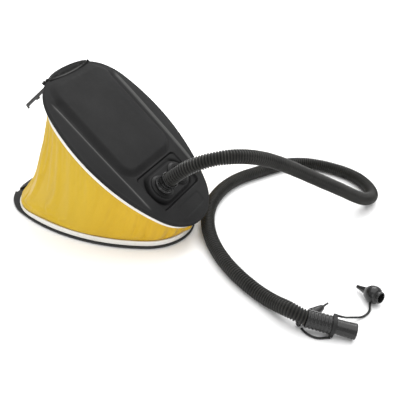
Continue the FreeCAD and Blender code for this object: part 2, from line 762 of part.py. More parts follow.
# ---------------------------------------------------------------- valve ports
def valve_grid(body, label):
    """Four openings round the axis, through the disc across the sleeve."""
    inner, outer = 3.2, 8.6
    start, end = math.radians(12), math.radians(78)
    sketch = new_sketch(body, "XY_Plane", -12)
    arcs = [sketch.addGeometry(flat_arc(0, 0, radius, start, end), False)
            for radius in (inner, outer)]
    sides = [add_line(sketch, (inner * math.cos(angle), inner * math.sin(angle)),
                      (outer * math.cos(angle), outer * math.sin(angle)))
             for angle in (start, end)]
    for arc_end, side in enumerate(sides, start=1):
        for side_end, arc in enumerate(arcs, start=1):
            relate(sketch, "Coincident", arc, arc_end, side, side_end)
    for arc in arcs:
        relate(sketch, "Coincident", arc, 3, -1, 1)
    for arc, radius in zip(arcs, (inner, outer)):
        set_radius(sketch, arc, radius)
    opening = cut(body, sketch, 9, reverse=True)
    pattern = body.newObject("PartDesign::PolarPattern", label + "_grid")
    pattern.Originals = [opening]
    pattern.Axis = (origin_feature(body, "Z_Axis"), [""])
    pattern.Angle = 360
    pattern.Occurrences = 4
    body.Tip = pattern
    doc.recompute()


def port(label, placement):
    """A sleeve with its valve grid, and the gasket under its rim."""
    top = BOSS_TOP
    sleeve = turned(label + "_port_sleeve", [
        (10.6, -4.0), (10.6, top + 2.4), (11.4, top + 3.2), (14.6, top + 3.2),
        (17.6, top + 1.6), (17.6, top + 0.6), (12.95, top + 0.6), (12.95, -11.6),
        (11.0, -11.6), (11.0, -8.6), (1.4, -8.6), (1.4, -7.0), (11.0, -7.0), (11.0, -4.0),
    ], placement)
    valve_grid(sleeve, label)
    turned(label + "_port_gasket", [
        (13.05, top + 0.02), (17.2, top + 0.02), (17.2, top + 0.58), (13.05, top + 0.58),
    ], placement)


def valve_flaps():
    """The outlet flap opens upwards, the inlet flap downwards; each slides on a headed stud."""
    turned("outlet_flap", [(1.45, -6.95), (9.6, -6.95), (9.6, -5.75), (1.45, -5.75)], INFLATE)
    turned("outlet_flap_stud", [
        (0, -9.6), (2.6, -9.6), (2.6, -8.65), (1.35, -8.65),
        (1.35, -3.1), (2.9, -3.1), (2.9, -2.3), (0, -2.3),
    ], INFLATE)
    turned("inlet_flap", [(1.45, -9.85), (9.6, -9.85), (9.6, -8.65), (1.45, -8.65)], DEFLATE)
    turned("inlet_flap_stud", [
        (0, -13.4), (2.9, -13.4), (2.9, -12.5), (1.35, -12.5),
        (1.35, -6.95), (2.6, -6.95), (2.6, -6.0), (0, -6.0),
    ], DEFLATE)


# ---------------------------------------------------------------- hose
def hose_plug():
    """Spigot, flange and the body that holds the hose end."""
    top = BOSS_TOP
    turned("hose_plug", [
        (7.6, -1.2), (9.9, -1.2), (10.54, 0.6), (10.54, top + 3.3), (13.4, top + 3.3),
        (13.4, top + 5.4), (12.2, top + 6.4), (11.7, top + 8.0), (11.7, top + 16.5),
        (12.5, top + 17.3), (12.5, top + 19.4), (12.0, top + 20.2), (11.0, top + 20.2),
        (10.35, top + 14.0), (10.35, top + 9.6), (7.6, top + 9.6),
    ], INFLATE)


PLUG_HEIGHTS = (13.6, 24.0)  # first centre points, along the inflate port from the rim
CUFF_DISTANCES = (60.0, 48.0, 37.0)  # last centre points, back from the nozzle tip
# Hose centre line between them: x, y, z
HOSE_PATH = [
    (140.5, -17.7, 122.2), (177.4, 3.2, 138.1), (208.0, 38.1, 132.2), (231.6, 75.8, 113.2),
    (256.3, 110.5, 89.9), (285.0, 142.0, 66.5), (314.6, 173.1, 43.5), (340.5, 206.7, 21.6),
    (344.4, 247.2, 11.1), (315.2, 281.1, 10.6), (270.7, 292.6, 10.6), (224.0, 284.4, 10.6),
    (189.3, 255.7, 10.6), (165.2, 214.1, 10.6), (143.5, 171.0, 10.6), (133.8, 124.0, 10.6),
    (137.5, 76.1, 10.6), (153.6, 30.7, 10.6), (180.6, -9.2, 10.6), (216.1, -42.0, 10.6),
    (257.8, -66.6, 10.6), (302.7, -84.4, 13.4), (325.0, -92.6, 18.7),
]
HOSE_STATIONS = 72


def hose_frames():
    """Evenly spaced frames down the hose, each turned as little as possible from the last."""
    centres = [INFLATE.multVec(Vector(0, 0, height)) for height in PLUG_HEIGHTS]
    centres += [Vector(*point) for point in HOSE_PATH]
    centres += [NOZZLE_TIP - NOZZLE_AXIS * distance for distance in CUFF_DISTANCES]
    curve = Part.BSplineCurve()
    curve.interpolate(centres)
    frames = []
    across = Vector(0, 1, 0)
    for i in range(HOSE_STATIONS + 1):
        distance = curve.length() * i / HOSE_STATIONS
        parameter = curve.parameterAtDistance(distance, curve.FirstParameter)
        along = curve.tangent(parameter)[0]
        along.normalize()
        across = across - along * across.dot(along)
        across.normalize()
        turn = Rotation(across, along.cross(across), along, "ZYX")
        frames.append(Placement(curve.value(parameter), turn))
    return frames


def hose_solid(frames, radius):
    wires = []
    for frame in frames:
        wire = Part.Wire([Part.makeCircle(radius)])
        wire.Placement = frame
        wires.append(wire)
    return Part.makeLoft(wires, True, True)


def hose():
    frames = hose_frames()
    outside = hose_solid(frames, SIZE["hose_outer"])
    inside = hose_solid(frames, SIZE["hose_inner"])
    new_feature("hose", outside.cut(inside).Solids[0])


# ---------------------------------------------------------------- nozzle end
# Heights on the nozzle axis are from the tip, so they are negative towards the hose.
RING_LOW, RING_HIGH = -30.2, -25.2


def nozzle_end():
    """Cuff, nozzle tube and the tether ring with its two tabs."""
    turned("hose_cuff", [
        (10.7, -50.0), (11.25, -57.0), (11.25, -61.0), (11.65, -61.0),
        (11.65, -30.5), (9.3, -30.5), (9.3, -36.4), (10.7, -36.4),
    ], NOZZLE)
    turned("nozzle_tube", [
        (dims.nozzle_inner, -36.0), (dims.nozzle_outer, -36.0), (dims.nozzle_outer, -24.0),
        (10.0, -3.0), (10.0, 0.0), (8.8, 0.0), (8.0, -2.0), (dims.nozzle_inner, -9.0),
    ], NOZZLE)
    ring = turned("tether_ring", [
        (9.32, RING_LOW), (11.6, RING_LOW), (11.6, RING_HIGH), (9.32, RING_HIGH),
    ], NOZZLE)
    tab_half = 1.6
    for y0, y1 in ((11.0, 14.4), (-12.6, -11.0)):
        block(ring, -30.0, -tab_half, y0, tab_half, y1, 4.6)
    doc.recompute()


def tethers():
    """Cords from the tether ring to the adaptors; the tables are x, y, z."""
    ring_middle = NOZZLE_TIP + NOZZLE_AXIS * ((RING_LOW + RING_HIGH) / 2)
    start = ring_middle + TAB_DIR * 12.8 + NOZZLE_AXIS * 3.4
    round_wire("long_tether", [
        start, start + NOZZLE_AXIS * 2.4,
        (385.0, -71.5, 20.0), (387.2, -66.0, 15.8), (389.3, -60.0, 11.8),
        (392.4, -53.6, 8.2), (397.0, -46.5, 4.8), (402.2, -40.2, 2.6),
        (406.4, -33.0, 2.0), (408.6, -25.5, 2.0), (408.5, -18.5, 2.2),
        (407.2, -14.2, 2.9), (405.7, -11.0, 4.05),
    ], SIZE["tether_radius"])
    round_wire("short_tether", [
        ring_middle - TAB_DIR * 14.5,
        (374.6, -97.0, 2.0), (369.6, -100.6, 1.9), (365.0, -102.9, 1.9),
        (360.0, -103.6, 1.9), (355.0, -103.2, 1.9), (350.0, -101.8, 2.1),
        (346.4, -100.3, 2.7), (343.6, -99.0, 3.5),
    ], SIZE["tether_radius"])


# ---------------------------------------------------------------- adaptors
def axis_between(rear, tip):
    """Placement with local Z from rear to tip, and the distance between them."""
    along = Vector(*tip) - Vector(*rear)
    return Placement(Vector(*rear), Rotation(Vector(0, 0, 1), along)), along.Length


def adaptors():
    """Two turned adaptors with the small end at local +Z."""
    placement, length = axis_between(rear=(417.1, -6.0, 14.7), tip=(383.1, 11.8, 5.9))
    turned("bell_adaptor", [
        (6.3, 0.0), (7.5, 0.0), (7.9, 0.6), (7.9, 3.0), (7.5, 3.8), (9.4, 5.0), (11.2, 8.0),
        (11.8, 11.5), (11.3, 15.5), (9.4, 19.5), (6.9, 22.8), (5.4, 24.4), (4.9, 25.4),
        (2.4, length - 2.2), (2.0, length), (1.1, length), (1.1, 24.0), (2.6, 21.0),
        (6.3, 14.0),
    ], placement)
    placement, length = axis_between(rear=(337.5, -95.6, 3.5), tip=(360.1, -47.7, 12.0))
    turned("pin_adaptor", [
        (1.0, 0.0), (3.1, 0.0), (3.4, 0.5), (3.4, 2.4), (2.4, 3.4), (2.4, 18.0), (3.4, 20.5),
        (7.4, 25.8), (7.6, 28.0), (5.2, 36.8), (3.4, 43.0), (3.0, 44.0), (1.5, 45.5),
        (1.3, length), (0.6, length), (0.6, 45.0), (1.0, 43.0),
    ], placement)


# ---------------------------------------------------------------- closure latches
def latch(label, side):
    """A hook in an end notch, tilted about its pivot from the treadle's own angle."""
    body = new_body(label, LID)
    lid = "Dims.open_angle * 1 deg"
    hook = "(Dims.open_angle + Dims.latch_tilt) * 1 deg"
    pivot_x, pivot_n = "Dims.latch_pivot_x", "Dims.latch_pivot_n"
    body.setExpression("Placement.Rotation.Angle", "Dims.open_angle + Dims.latch_tilt")
    body.setExpression("Placement.Base.x", (
        f"Dims.hinge_x * (1 - cos({lid})) - {pivot_x} * cos({lid}) + {pivot_n} * sin({lid})"
        f" + {pivot_x} * cos({hook}) - {pivot_n} * sin({hook})"))
    body.setExpression("Placement.Base.z", (
        f"Dims.hinge_z + Dims.hinge_x * sin({lid}) + {pivot_x} * sin({lid})"
        f" + {pivot_n} * cos({lid}) - {pivot_x} * sin({hook}) - {pivot_n} * cos({hook})"))

    middle_y = dims.notch_y * side
    pivot = dims.latch_pivot_n
    low = pivot - dims.latch_long
    outer = -(dims.latch_pivot_x + dims.latch_wide / 2)
    inner = -(dims.latch_pivot_x - dims.latch_wide / 2)
    sketch = new_sketch(body, "XZ_Plane", -(middle_y + dims.latch_half))
    polygon(sketch, [
        (outer + 1.2, pivot + 2.6), (inner - 1.2, pivot + 2.6), (inner, pivot + 1.4),
        (inner, pivot - 4), (inner - 1.6, pivot - 8), (inner - 1.6, pivot - 23),
        (inner + 0.4, pivot - 24.5), (inner + 0.4, pivot - 28), (inner - 1.6, pivot - 31),
        (inner - 1.6, low + 7), (inner - 1.0, low + 1.3), (inner + 0.8, low + 1.3),
        (inner + 0.8, low), (outer + 1.2, low), (outer, low + 2.5), (outer, pivot + 1.4),
    ])
    pad(body, sketch, dims.latch_half * 2)
    # pivot pin, standing out on both sides of the hook
    pin_half = dims.latch_half + 2.2
    sketch = new_sketch(body, "XZ_Plane", -(middle_y + pin_half))
    circle(sketch, -dims.latch_pivot_x, pivot, dims.latch_pin_radius)
    pad(body, sketch, pin_half * 2)
    doc.recompute()


# ---------------------------------------------------------------- build and export
def export_pieces():
    doc.recompute()
    for item in doc.Objects:
        bad = [state for state in item.State if state in ("Invalid", "Error")]
        if bad:
            raise RuntimeError(f"{item.Name} is {bad}")
    os.makedirs("parts", exist_ok=True)
    for piece in pieces:
        shape = piece.Shape
        if shape.isNull() or not shape.isValid() or not shape.Solids:
            raise RuntimeError(f"{piece.Label} has no valid shape")
        shape.exportStep(f"parts/{piece.Label}.step")


base_plate()
top_plate()
beads()
bellows()
hinge_pin()
return_spring()
rubber_feet()
port("inflate", INFLATE)
port("deflate", DEFLATE)
valve_flaps()
hose_plug()
hose()
nozzle_end()
tethers()
adaptors()
latch("near_latch", -1)
latch("far_latch", 1)
export_pieces()
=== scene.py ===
# A foot-operated bellows pump standing on the floor (z = 0), its length along x.
# The treadle is hinged at the +x end and rises towards its free end at -x; coated fabric
# closes the gap down to the base. A ribbed hose leaves the -y port, drops past the +x end,
# loops over the floor and ends in a cuff and nozzle, with two adaptors tethered to it.
# Lengths are millimetres unless a comment says metres; make() converts them.
import bpy
import bmesh
import math
import numpy as np
from mathutils import Matrix, Vector
from mathutils.geometry import delaunay_2d_cdt


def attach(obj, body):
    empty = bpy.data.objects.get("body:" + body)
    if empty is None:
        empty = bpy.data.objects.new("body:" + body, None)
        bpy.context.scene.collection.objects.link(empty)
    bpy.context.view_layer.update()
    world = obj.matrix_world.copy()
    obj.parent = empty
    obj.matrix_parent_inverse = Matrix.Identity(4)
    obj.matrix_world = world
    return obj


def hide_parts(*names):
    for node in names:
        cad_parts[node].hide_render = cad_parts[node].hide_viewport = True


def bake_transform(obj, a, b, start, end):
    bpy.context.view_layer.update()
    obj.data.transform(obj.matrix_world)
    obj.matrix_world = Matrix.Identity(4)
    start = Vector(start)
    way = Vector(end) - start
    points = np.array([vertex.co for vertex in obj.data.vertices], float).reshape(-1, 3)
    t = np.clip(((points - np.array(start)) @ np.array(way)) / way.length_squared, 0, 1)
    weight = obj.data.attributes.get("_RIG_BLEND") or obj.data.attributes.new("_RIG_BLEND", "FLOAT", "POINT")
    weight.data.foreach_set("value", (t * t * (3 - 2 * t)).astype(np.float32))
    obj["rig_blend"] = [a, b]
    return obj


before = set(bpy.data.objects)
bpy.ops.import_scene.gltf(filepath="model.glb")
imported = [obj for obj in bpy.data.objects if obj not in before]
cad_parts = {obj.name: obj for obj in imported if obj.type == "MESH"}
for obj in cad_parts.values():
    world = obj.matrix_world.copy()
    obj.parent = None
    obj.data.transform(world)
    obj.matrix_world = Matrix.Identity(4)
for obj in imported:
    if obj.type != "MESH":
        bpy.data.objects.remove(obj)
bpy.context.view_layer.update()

rng = np.random.default_rng(7)
TURN = 2 * math.pi

# ---------------------------------------------------------------- shared sizes
HALF_LENGTH, HALF_WIDTH = 140.0, 98.0
HINGE_X, HINGE_Z = 122.0, 18.0
TILT = math.radians(36.4)
RIM = 36.0                                  # rim plane, measured along the treadle's normal

# The treadle's own frame: x along it, y across it, n out of its upper face.
LID_X = np.array([math.cos(TILT), 0, -math.sin(TILT)])
LID_Y = np.array([0, 1.0, 0])
LID_N = np.array([math.sin(TILT), 0, math.cos(TILT)])
HINGE = np.array([HINGE_X, 0, HINGE_Z])

# Plan outline: arcs at the hinge end, the sides, the free corners and the free end.
SIDE_RADIUS, HINGE_END_RADIUS = 240.0, 74.0
FREE_END_RADIUS = 700.0
FREE_END_CENTRE_X = FREE_END_RADIUS - HALF_LENGTH

# Two notches in the treadle's free end
NOTCH_Y, NOTCH_HALF, NOTCH_DEPTH = 46.0, 2.9, 6.0
NOTCH_FLOOR_X = -HALF_LENGTH + NOTCH_DEPTH

# Ports, on a boss whose plan is a stadium
PORT_X, PORT_Y = 70.0, 22.0
PORT_HOLE_RADIUS = 13.0
BOSS_RADIUS, BOSS_TOP = 19.2, 3.5           # the top is above the rim plane

# Rounded rectangles on the treadle: x from, x to, half width, corner radius
TREAD_PANEL = (-119.0, 26.0, 53.0, 15.0)
PORT_RECESS = (40.0, 98.0, 50.0, 7.0)
LABEL_RECESS = (106.5, 124.0, 28.0, 5.0)
RECESS_MID_X = (PORT_RECESS[0] + PORT_RECESS[1]) / 2


def on_lid(x, y, n):
    """Treadle coordinates to world coordinates."""
    x, y, n = (np.asarray(v, float) for v in (x, y, n))
    return HINGE + (x - HINGE_X)[..., None] * LID_X + y[..., None] * LID_Y + n[..., None] * LID_N


def to_lid(points):
    """World coordinates to treadle x, y and n."""
    rel = points - HINGE
    return rel @ LID_X + HINGE_X, rel[..., 1], rel @ LID_N


def smooth(t):
    """Eased step from 0 to 1."""
    t = np.clip(t, 0, 1)
    return t * t * (3 - 2 * t)


def bell(t):
    return np.exp(-t ** 2)


def unit_rows(vectors):
    return vectors / np.linalg.norm(vectors, axis=1, keepdims=True)


# ---------------------------------------------------------------- plan outline
def plan_arcs(corner_radius, end_radius, end_x):
    """Six tangent arcs, anticlockwise: (centre, radius, start angle, end angle)."""
    hinge_c = np.array([HALF_LENGTH - HINGE_END_RADIUS, 0.0])
    side_y = HALF_WIDTH - SIDE_RADIUS
    side_x = hinge_c[0] - math.sqrt((SIDE_RADIUS - HINGE_END_RADIUS) ** 2 - side_y ** 2)
    side_c = np.array([side_x, side_y])
    end_c = np.array([end_x + end_radius, 0.0])
    # the corner's centre lies where two circles round side_c and end_c cross
    gap = np.linalg.norm(side_c - end_c)
    from_side, from_end = SIDE_RADIUS - corner_radius, end_radius - corner_radius
    along = (from_side ** 2 - from_end ** 2 + gap * gap) / (2 * gap)
    across = math.sqrt(from_side ** 2 - along * along)
    line_dir = (end_c - side_c) / gap
    cross_dir = np.array([-line_dir[1], line_dir[0]])
    foot = side_c + along * line_dir
    corner_c = max(foot + across * cross_dir, foot - across * cross_dir, key=lambda c: c[1])
    a1 = math.atan2(*(hinge_c - side_c)[::-1])
    a2 = math.atan2(*(corner_c - side_c)[::-1])
    a3 = math.atan2(*(corner_c - end_c)[::-1])
    mirror = np.array([1.0, -1.0])
    return [(hinge_c, HINGE_END_RADIUS, -a1, a1),
            (side_c, SIDE_RADIUS, a1, a2),
            (corner_c, corner_radius, a2, a3),
            (end_c, end_radius, a3, TURN - a3),
            (corner_c * mirror, corner_radius, -a3, -a2),
            (side_c * mirror, SIDE_RADIUS, -a2, -a1)]


SHELL_ARCS = plan_arcs(corner_radius=68.0, end_radius=FREE_END_RADIUS, end_x=-HALF_LENGTH)
FABRIC_ARCS = plan_arcs(corner_radius=64.0, end_radius=400.0, end_x=-125.5)


def outline(arcs, count):
    """Points spaced evenly round an outline, their outward normals and its length."""
    lengths = [r * (b - a) for _, r, a, b in arcs]
    total = sum(lengths)
    s = (np.arange(count) + 0.5) * total / count
    points, normals = np.zeros((count, 2)), np.zeros((count, 2))
    done = 0.0
    for (centre, r, a, _), length in zip(arcs, lengths):
        on_arc = (s >= done) & (s < done + length)
        angle = a + (s[on_arc] - done) / r
        normals[on_arc] = np.stack([np.cos(angle), np.sin(angle)], 1)
        points[on_arc] = centre + r * normals[on_arc]
        done += length
    return points, normals, total


def inset_of(x, y):
    """Distance inwards from the treadle's outline."""
    best = np.full(np.shape(x), 1e3)
    for centre, r, a, b in SHELL_ARCS:
        dx, dy = x - centre[0], y - centre[1]
        angle = np.mod(np.arctan2(dy, dx) - a, TURN)
        d = r - np.hypot(dx, dy)
        in_arc = (angle <= (b - a) + 1e-9) | (angle >= TURN - 1e-9)
        best = np.where(in_arc & (d < best) & (d > -30), d, best)
    return best


# ---------------------------------------------------------------- mesh helpers
def link(ob):
    bpy.context.scene.collection.objects.link(ob)
    return ob


def make(name, points, faces, normals=None):
    """A smooth-shaded object from points in millimetres."""
    me = bpy.data.meshes.new(name)
    me.from_pydata((np.asarray(points, float) / 1000.0).tolist(), [],
                   [tuple(int(i) for i in f) for f in faces])
    me.validate(clean_customdata=False)
    me.polygons.foreach_set("use_smooth", [True] * len(me.polygons))
    if normals is not None:
        me.normals_split_custom_set_from_vertices([tuple(v) for v in normals])
    me.update()
    return link(bpy.data.objects.new(name, me))


def points_of(mesh):
    """A mesh's vertices in millimetres."""
    flat = np.zeros(len(mesh.vertices) * 3)
    mesh.vertices.foreach_get("co", flat)
    return flat.reshape(-1, 3) * 1000


def set_attr(ob, name, values):
    layer = ob.data.attributes.new(name, "FLOAT", "POINT")
    layer.data.foreach_set("value", np.asarray(values, np.float32))


def grid_faces(around, rows):
    """Quads between rows of `around` points, each row a closed ring."""
    faces = []
    for v in range(rows - 1):
        for u in range(around):
            u2 = (u + 1) % around
            faces.append((v * around + u, v * around + u2,
                          (v + 1) * around + u2, (v + 1) * around + u))
    return faces


def closed_grid_faces(around, rows):
    """grid_faces with the last row joined back to the first."""
    last = (rows - 1) * around
    closing = [(last + i, last + (i + 1) % around, (i + 1) % around, i) for i in range(around)]
    return grid_faces(around, rows) + closing


def rod_faces(around, rows):
    """grid_faces with both ends capped."""
    last = (rows - 1) * around
    caps = [tuple(range(around))[::-1], tuple(last + k for k in range(around))]
    return grid_faces(around, rows) + caps


def smooth_by_angle(ob, degrees):
    bm = bmesh.new()
    bm.from_mesh(ob.data)
    bmesh.ops.recalc_face_normals(bm, faces=bm.faces)
    limit = math.radians(degrees)
    for e in bm.edges:
        e.smooth = len(e.link_faces) == 2 and e.calc_face_angle(0.0) < limit
    for f in bm.faces:
        f.smooth = True
    bm.to_mesh(ob.data)
    bm.free()


def rounded(corners, radius, segments=3):
    """Rounds the corners of a closed profile."""
    corners = [np.array(p, float) for p in corners]
    out = []
    for i, p in enumerate(corners):
        before, after = corners[i - 1], corners[(i + 1) % len(corners)]
        len_b, len_a = np.linalg.norm(before - p), np.linalg.norm(after - p)
        cut = min(radius, len_b * 0.45, len_a * 0.45)
        start, end = p + (before - p) / len_b * cut, p + (after - p) / len_a * cut
        for k in range(segments + 1):
            t = k / segments
            out.append(tuple((1 - t) ** 2 * start + 2 * t * (1 - t) * p + t * t * end))
    return out


def revolve(name, profile, origin, axis, zero_dir, sides, radius_at=None):
    """A turned piece from a closed (radius, height) profile, height along the axis.

    Angle 0 points along zero_dir; radius_at(angle, radius, height) may vary the radius.
    """
    axis = np.asarray(axis, float) / np.linalg.norm(axis)
    side = np.asarray(zero_dir, float)
    side = side - axis * (side @ axis)
    side /= np.linalg.norm(side)
    up = np.cross(axis, side)
    points = []
    for r, h in profile:
        for i in range(sides):
            a = TURN * i / sides
            ra = radius_at(a, r, h) if radius_at else r
            points.append(origin + axis * h + (side * math.cos(a) + up * math.sin(a)) * ra)
    ob = make(name, points, closed_grid_faces(sides, len(profile)))
    smooth_by_angle(ob, 38)
    return ob


def spline(knots, count):
    """Natural cubic through the knots at even steps: points and their distances along it."""
    d = np.concatenate([[0], np.cumsum(np.linalg.norm(np.diff(knots, axis=0), axis=1))])
    gap = np.diff(d)
    m = len(knots)
    system, right = np.zeros((m, m)), np.zeros((m, 3))
    system[0, 0] = system[-1, -1] = 1
    for i in range(1, m - 1):
        system[i, i - 1:i + 2] = gap[i - 1], 2 * (gap[i - 1] + gap[i]), gap[i]
        right[i] = 6 * ((knots[i + 1] - knots[i]) / gap[i]
                        - (knots[i] - knots[i - 1]) / gap[i - 1])
    bend = np.linalg.solve(system, right)
    s = np.linspace(0, d[-1], 6000)
    k = np.clip(np.searchsorted(d, s, side="right") - 1, 0, m - 2)
    t0, t1 = (d[k + 1] - s)[:, None], (s - d[k])[:, None]
    g = gap[k][:, None]
    fine = ((bend[k] * t0 ** 3 + bend[k + 1] * t1 ** 3) / (6 * g)
            + (knots[k] / g - bend[k] * g / 6) * t0
            + (knots[k + 1] / g - bend[k + 1] * g / 6) * t1)
    run = np.concatenate([[0], np.cumsum(np.linalg.norm(np.diff(fine, axis=0), axis=1))])
    even = np.linspace(0, run[-1], count)
    return np.stack([np.interp(even, run, fine[:, i]) for i in range(3)], 1), even


def cad_copy(node, name):
    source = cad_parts[node]
    ob = source.copy()
    ob.data = source.data.copy()
    for key in list(ob.keys()):
        if key.startswith("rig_"):
            del ob[key]
    ob.name = name
    ob.parent = None
    ob.hide_render = ob.hide_viewport = False
    return link(ob)


def soften_edges(ob, width):
    md = ob.modifiers.new("edge", "BEVEL")
    md.width = width / 1000
    md.segments = 3
    md.limit_method = "ANGLE"
    md.angle_limit = math.radians(40)


def set_material(ob, mat):
    ob.data.materials.clear()
    ob.data.materials.append(mat)


def dress(ob, mat, body, replaces=None):
    """Finishes a piece that moves rigidly with one body."""
    set_material(ob, mat)
    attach(ob, body)
    if replaces:
        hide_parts(replaces)


def dress_blended(ob, mat, replaces, bodies, start, end, weights):
    """Finishes a piece that stretches between two bodies; start and end in metres."""
    set_material(ob, mat)
    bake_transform(ob, *bodies, start, end)
    layer = ob.data.attributes["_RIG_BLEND"]
    layer.data.foreach_set("value", np.asarray(weights).astype(np.float32))
    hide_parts(replaces)


# ---------------------------------------------------------------- materials
class Shader:
    """A material with one Principled shader, and short ways to feed it."""

    def __init__(self, name):
        self.material = bpy.data.materials.new(name)
        self.material.use_nodes = True
        self.tree = self.material.node_tree
        self.tree.nodes.clear()
        out = self.tree.nodes.new("ShaderNodeOutputMaterial")
        self.surface = self.tree.nodes.new("ShaderNodeBsdfPrincipled")
        self.tree.links.new(self.surface.outputs[0], out.inputs[0])

    def feed(self, socket, value):
        """Links a socket, or sets a number or an RGB colour."""
        if isinstance(value, bpy.types.NodeSocket):
            self.tree.links.new(value, socket)
        elif isinstance(value, tuple):
            socket.default_value = (*value, 1)
        else:
            socket.default_value = value

    def set(self, name, value):
        self.feed(self.surface.inputs[name], value)

    def node(self, kind, inputs=None, **settings):
        node = self.tree.nodes.new("ShaderNode" + kind)
        for key, value in settings.items():
            setattr(node, key, value)
        for key, value in (inputs or {}).items():
            self.feed(node.inputs[key], value)
        return node

    def coords(self, which="Object"):
        return self.node("TexCoord").outputs[which]

    def attribute(self, name):
        return self.node("Attribute", attribute_name=name).outputs["Fac"]

    def noise(self, coord, scale, detail, rough=0.5, stretch=None):
        if stretch is not None:
            mapping = self.node("Mapping", {"Vector": coord})
            mapping.inputs["Scale"].default_value = stretch
            coord = mapping.outputs[0]
        inputs = {"Scale": scale, "Detail": detail, "Roughness": rough, "Vector": coord}
        return self.node("TexNoise", inputs).outputs["Fac"]

    def bands(self, coord, direction, scale):
        inputs = {"Scale": scale, "Distortion": 0.5}
        if direction == "X":
            inputs["Detail Scale"] = 2.0
        node = self.node("TexWave", inputs, wave_type="BANDS", bands_direction=direction)
        self.feed(node.inputs["Vector"], coord)
        return node.outputs["Fac"]

    def ramp(self, fac, *stops):
        """Two (position, grey value) stops."""
        node = self.node("ValToRGB", {"Fac": fac})
        for element, (position, grey) in zip(node.color_ramp.elements, stops):
            element.position = position
            element.color = (grey, grey, grey, 1)
        return node.outputs[0]

    def mix(self, fac, a, b):
        node = self.node("Mix", data_type="RGBA")
        for index, value in ((0, fac), (6, a), (7, b)):
            self.feed(node.inputs[index], value)
        return node.outputs[2]

    def maths(self, operation, a, b):
        return self.node("Math", {0: a, 1: b}, operation=operation).outputs[0]

    def bumps(self, *layers):
        """(height, strength, distance in metres) layers, one on another."""
        normal = None
        for height, strength, distance in layers:
            inputs = {"Strength": strength, "Distance": distance, "Height": height}
            if normal is not None:
                inputs["Normal"] = normal
            normal = self.node("Bump", inputs).outputs[0]
        self.set("Normal", normal)


def dark_plastic(name, *, base, roughness, grain, specular, edge=0.06,
                 tint=(1.0, 1.0, 1.0), painted_light=False):
    """Moulded black plastic or rubber; base and edge are the grey of faces and of sharp edges."""
    sh = Shader(name)
    co = sh.coords()
    patches = sh.noise(co, scale=14, detail=4, rough=0.6)
    texture = sh.noise(co, scale=2200, detail=2)
    marks = sh.noise(co, scale=160, detail=5, rough=0.6)

    def shade(level):
        return tuple(base * level * t for t in tint)

    colour = sh.mix(sh.ramp(patches, (0.3, 0.0), (0.7, 1.0)), shade(0.82), shade(1.25))
    colour = sh.mix(sh.ramp(marks, (0.52, 0.0), (0.80, 0.22)), colour, shade(1.9))    # dust
    # lighter grey on sharp edges
    pointiness = sh.node("NewGeometry").outputs["Pointiness"]
    sharp_edge_share = sh.ramp(pointiness, (0.515, 0.0), (0.60, 1.0))
    colour = sh.mix(sh.maths("MULTIPLY", sharp_edge_share, 0.5), colour, (edge, edge, edge))
    rough = sh.ramp(marks, (0.25, roughness - 0.06), (0.75, roughness + 0.08))
    sh.set("Specular IOR Level", specular)
    if painted_light:
        # painted shade: hollows go black and matt; painted highlight: the crease and grip lines go grey
        painted_shade = sh.attribute("painted_shade")
        colour = sh.mix(painted_shade, colour, (0.0022, 0.0022, 0.0022))
        rough = sh.maths("ADD", rough, sh.maths("MULTIPLY", painted_shade, 0.35))
        shine_lost_to_shade = sh.maths("MULTIPLY", painted_shade, specular * 0.9)
        sh.set("Specular IOR Level", sh.maths("SUBTRACT", specular, shine_lost_to_shade))
        # painted highlight: grey along the side creases and the grip's inner edge
        colour = sh.mix(sh.attribute("painted_highlight"), colour, (0.125, 0.125, 0.122))
    sh.set("Base Color", colour)
    sh.set("Roughness", rough)
    sh.bumps((texture, grain, 0.0002), (marks, 0.05, 0.0006))
    return sh.material


def hose_plastic():
    """Paler rib crowns over black troughs."""
    sh = Shader("hose_plastic")
    ridge = sh.attribute("ridge")
    co = sh.coords()
    sh.set("Specular IOR Level", 0.19)
    patches = sh.noise(co, scale=40, detail=4, rough=0.6)
    texture = sh.noise(co, scale=900, detail=3)
    crown = sh.mix(sh.ramp(patches, (0.3, 0.0), (0.72, 1.0)),
                   (0.014, 0.0138, 0.0122), (0.033, 0.0324, 0.0285))
    trough = (0.0045, 0.0045, 0.0045)
    sh.set("Base Color", sh.mix(sh.ramp(ridge, (0.15, 0.0), (0.95, 1.0)), trough, crown))
    sh.set("Roughness", sh.ramp(texture, (0.3, 0.26), (0.7, 0.40)))
    sh.bumps((texture, 0.12, 0.0002))
    return sh.material


def bead_white():
    """Off-white extruded plastic with handling marks."""
    sh = Shader("bead_white")
    co = sh.coords()
    patches = sh.noise(co, scale=30, detail=5, rough=0.65)
    marks = sh.noise(co, scale=500, detail=3)
    colour = sh.mix(sh.ramp(patches, (0.35, 0.0), (0.75, 1.0)),
                    (0.83, 0.825, 0.80), (0.70, 0.685, 0.64))
    colour = sh.mix(sh.ramp(marks, (0.60, 0.0), (0.80, 0.30)), colour, (0.50, 0.47, 0.40))
    sh.set("Base Color", colour)
    sh.set("Roughness", sh.ramp(marks, (0.3, 0.36), (0.7, 0.52)))
    sh.bumps((marks, 0.12, 0.0003))
    return sh.material


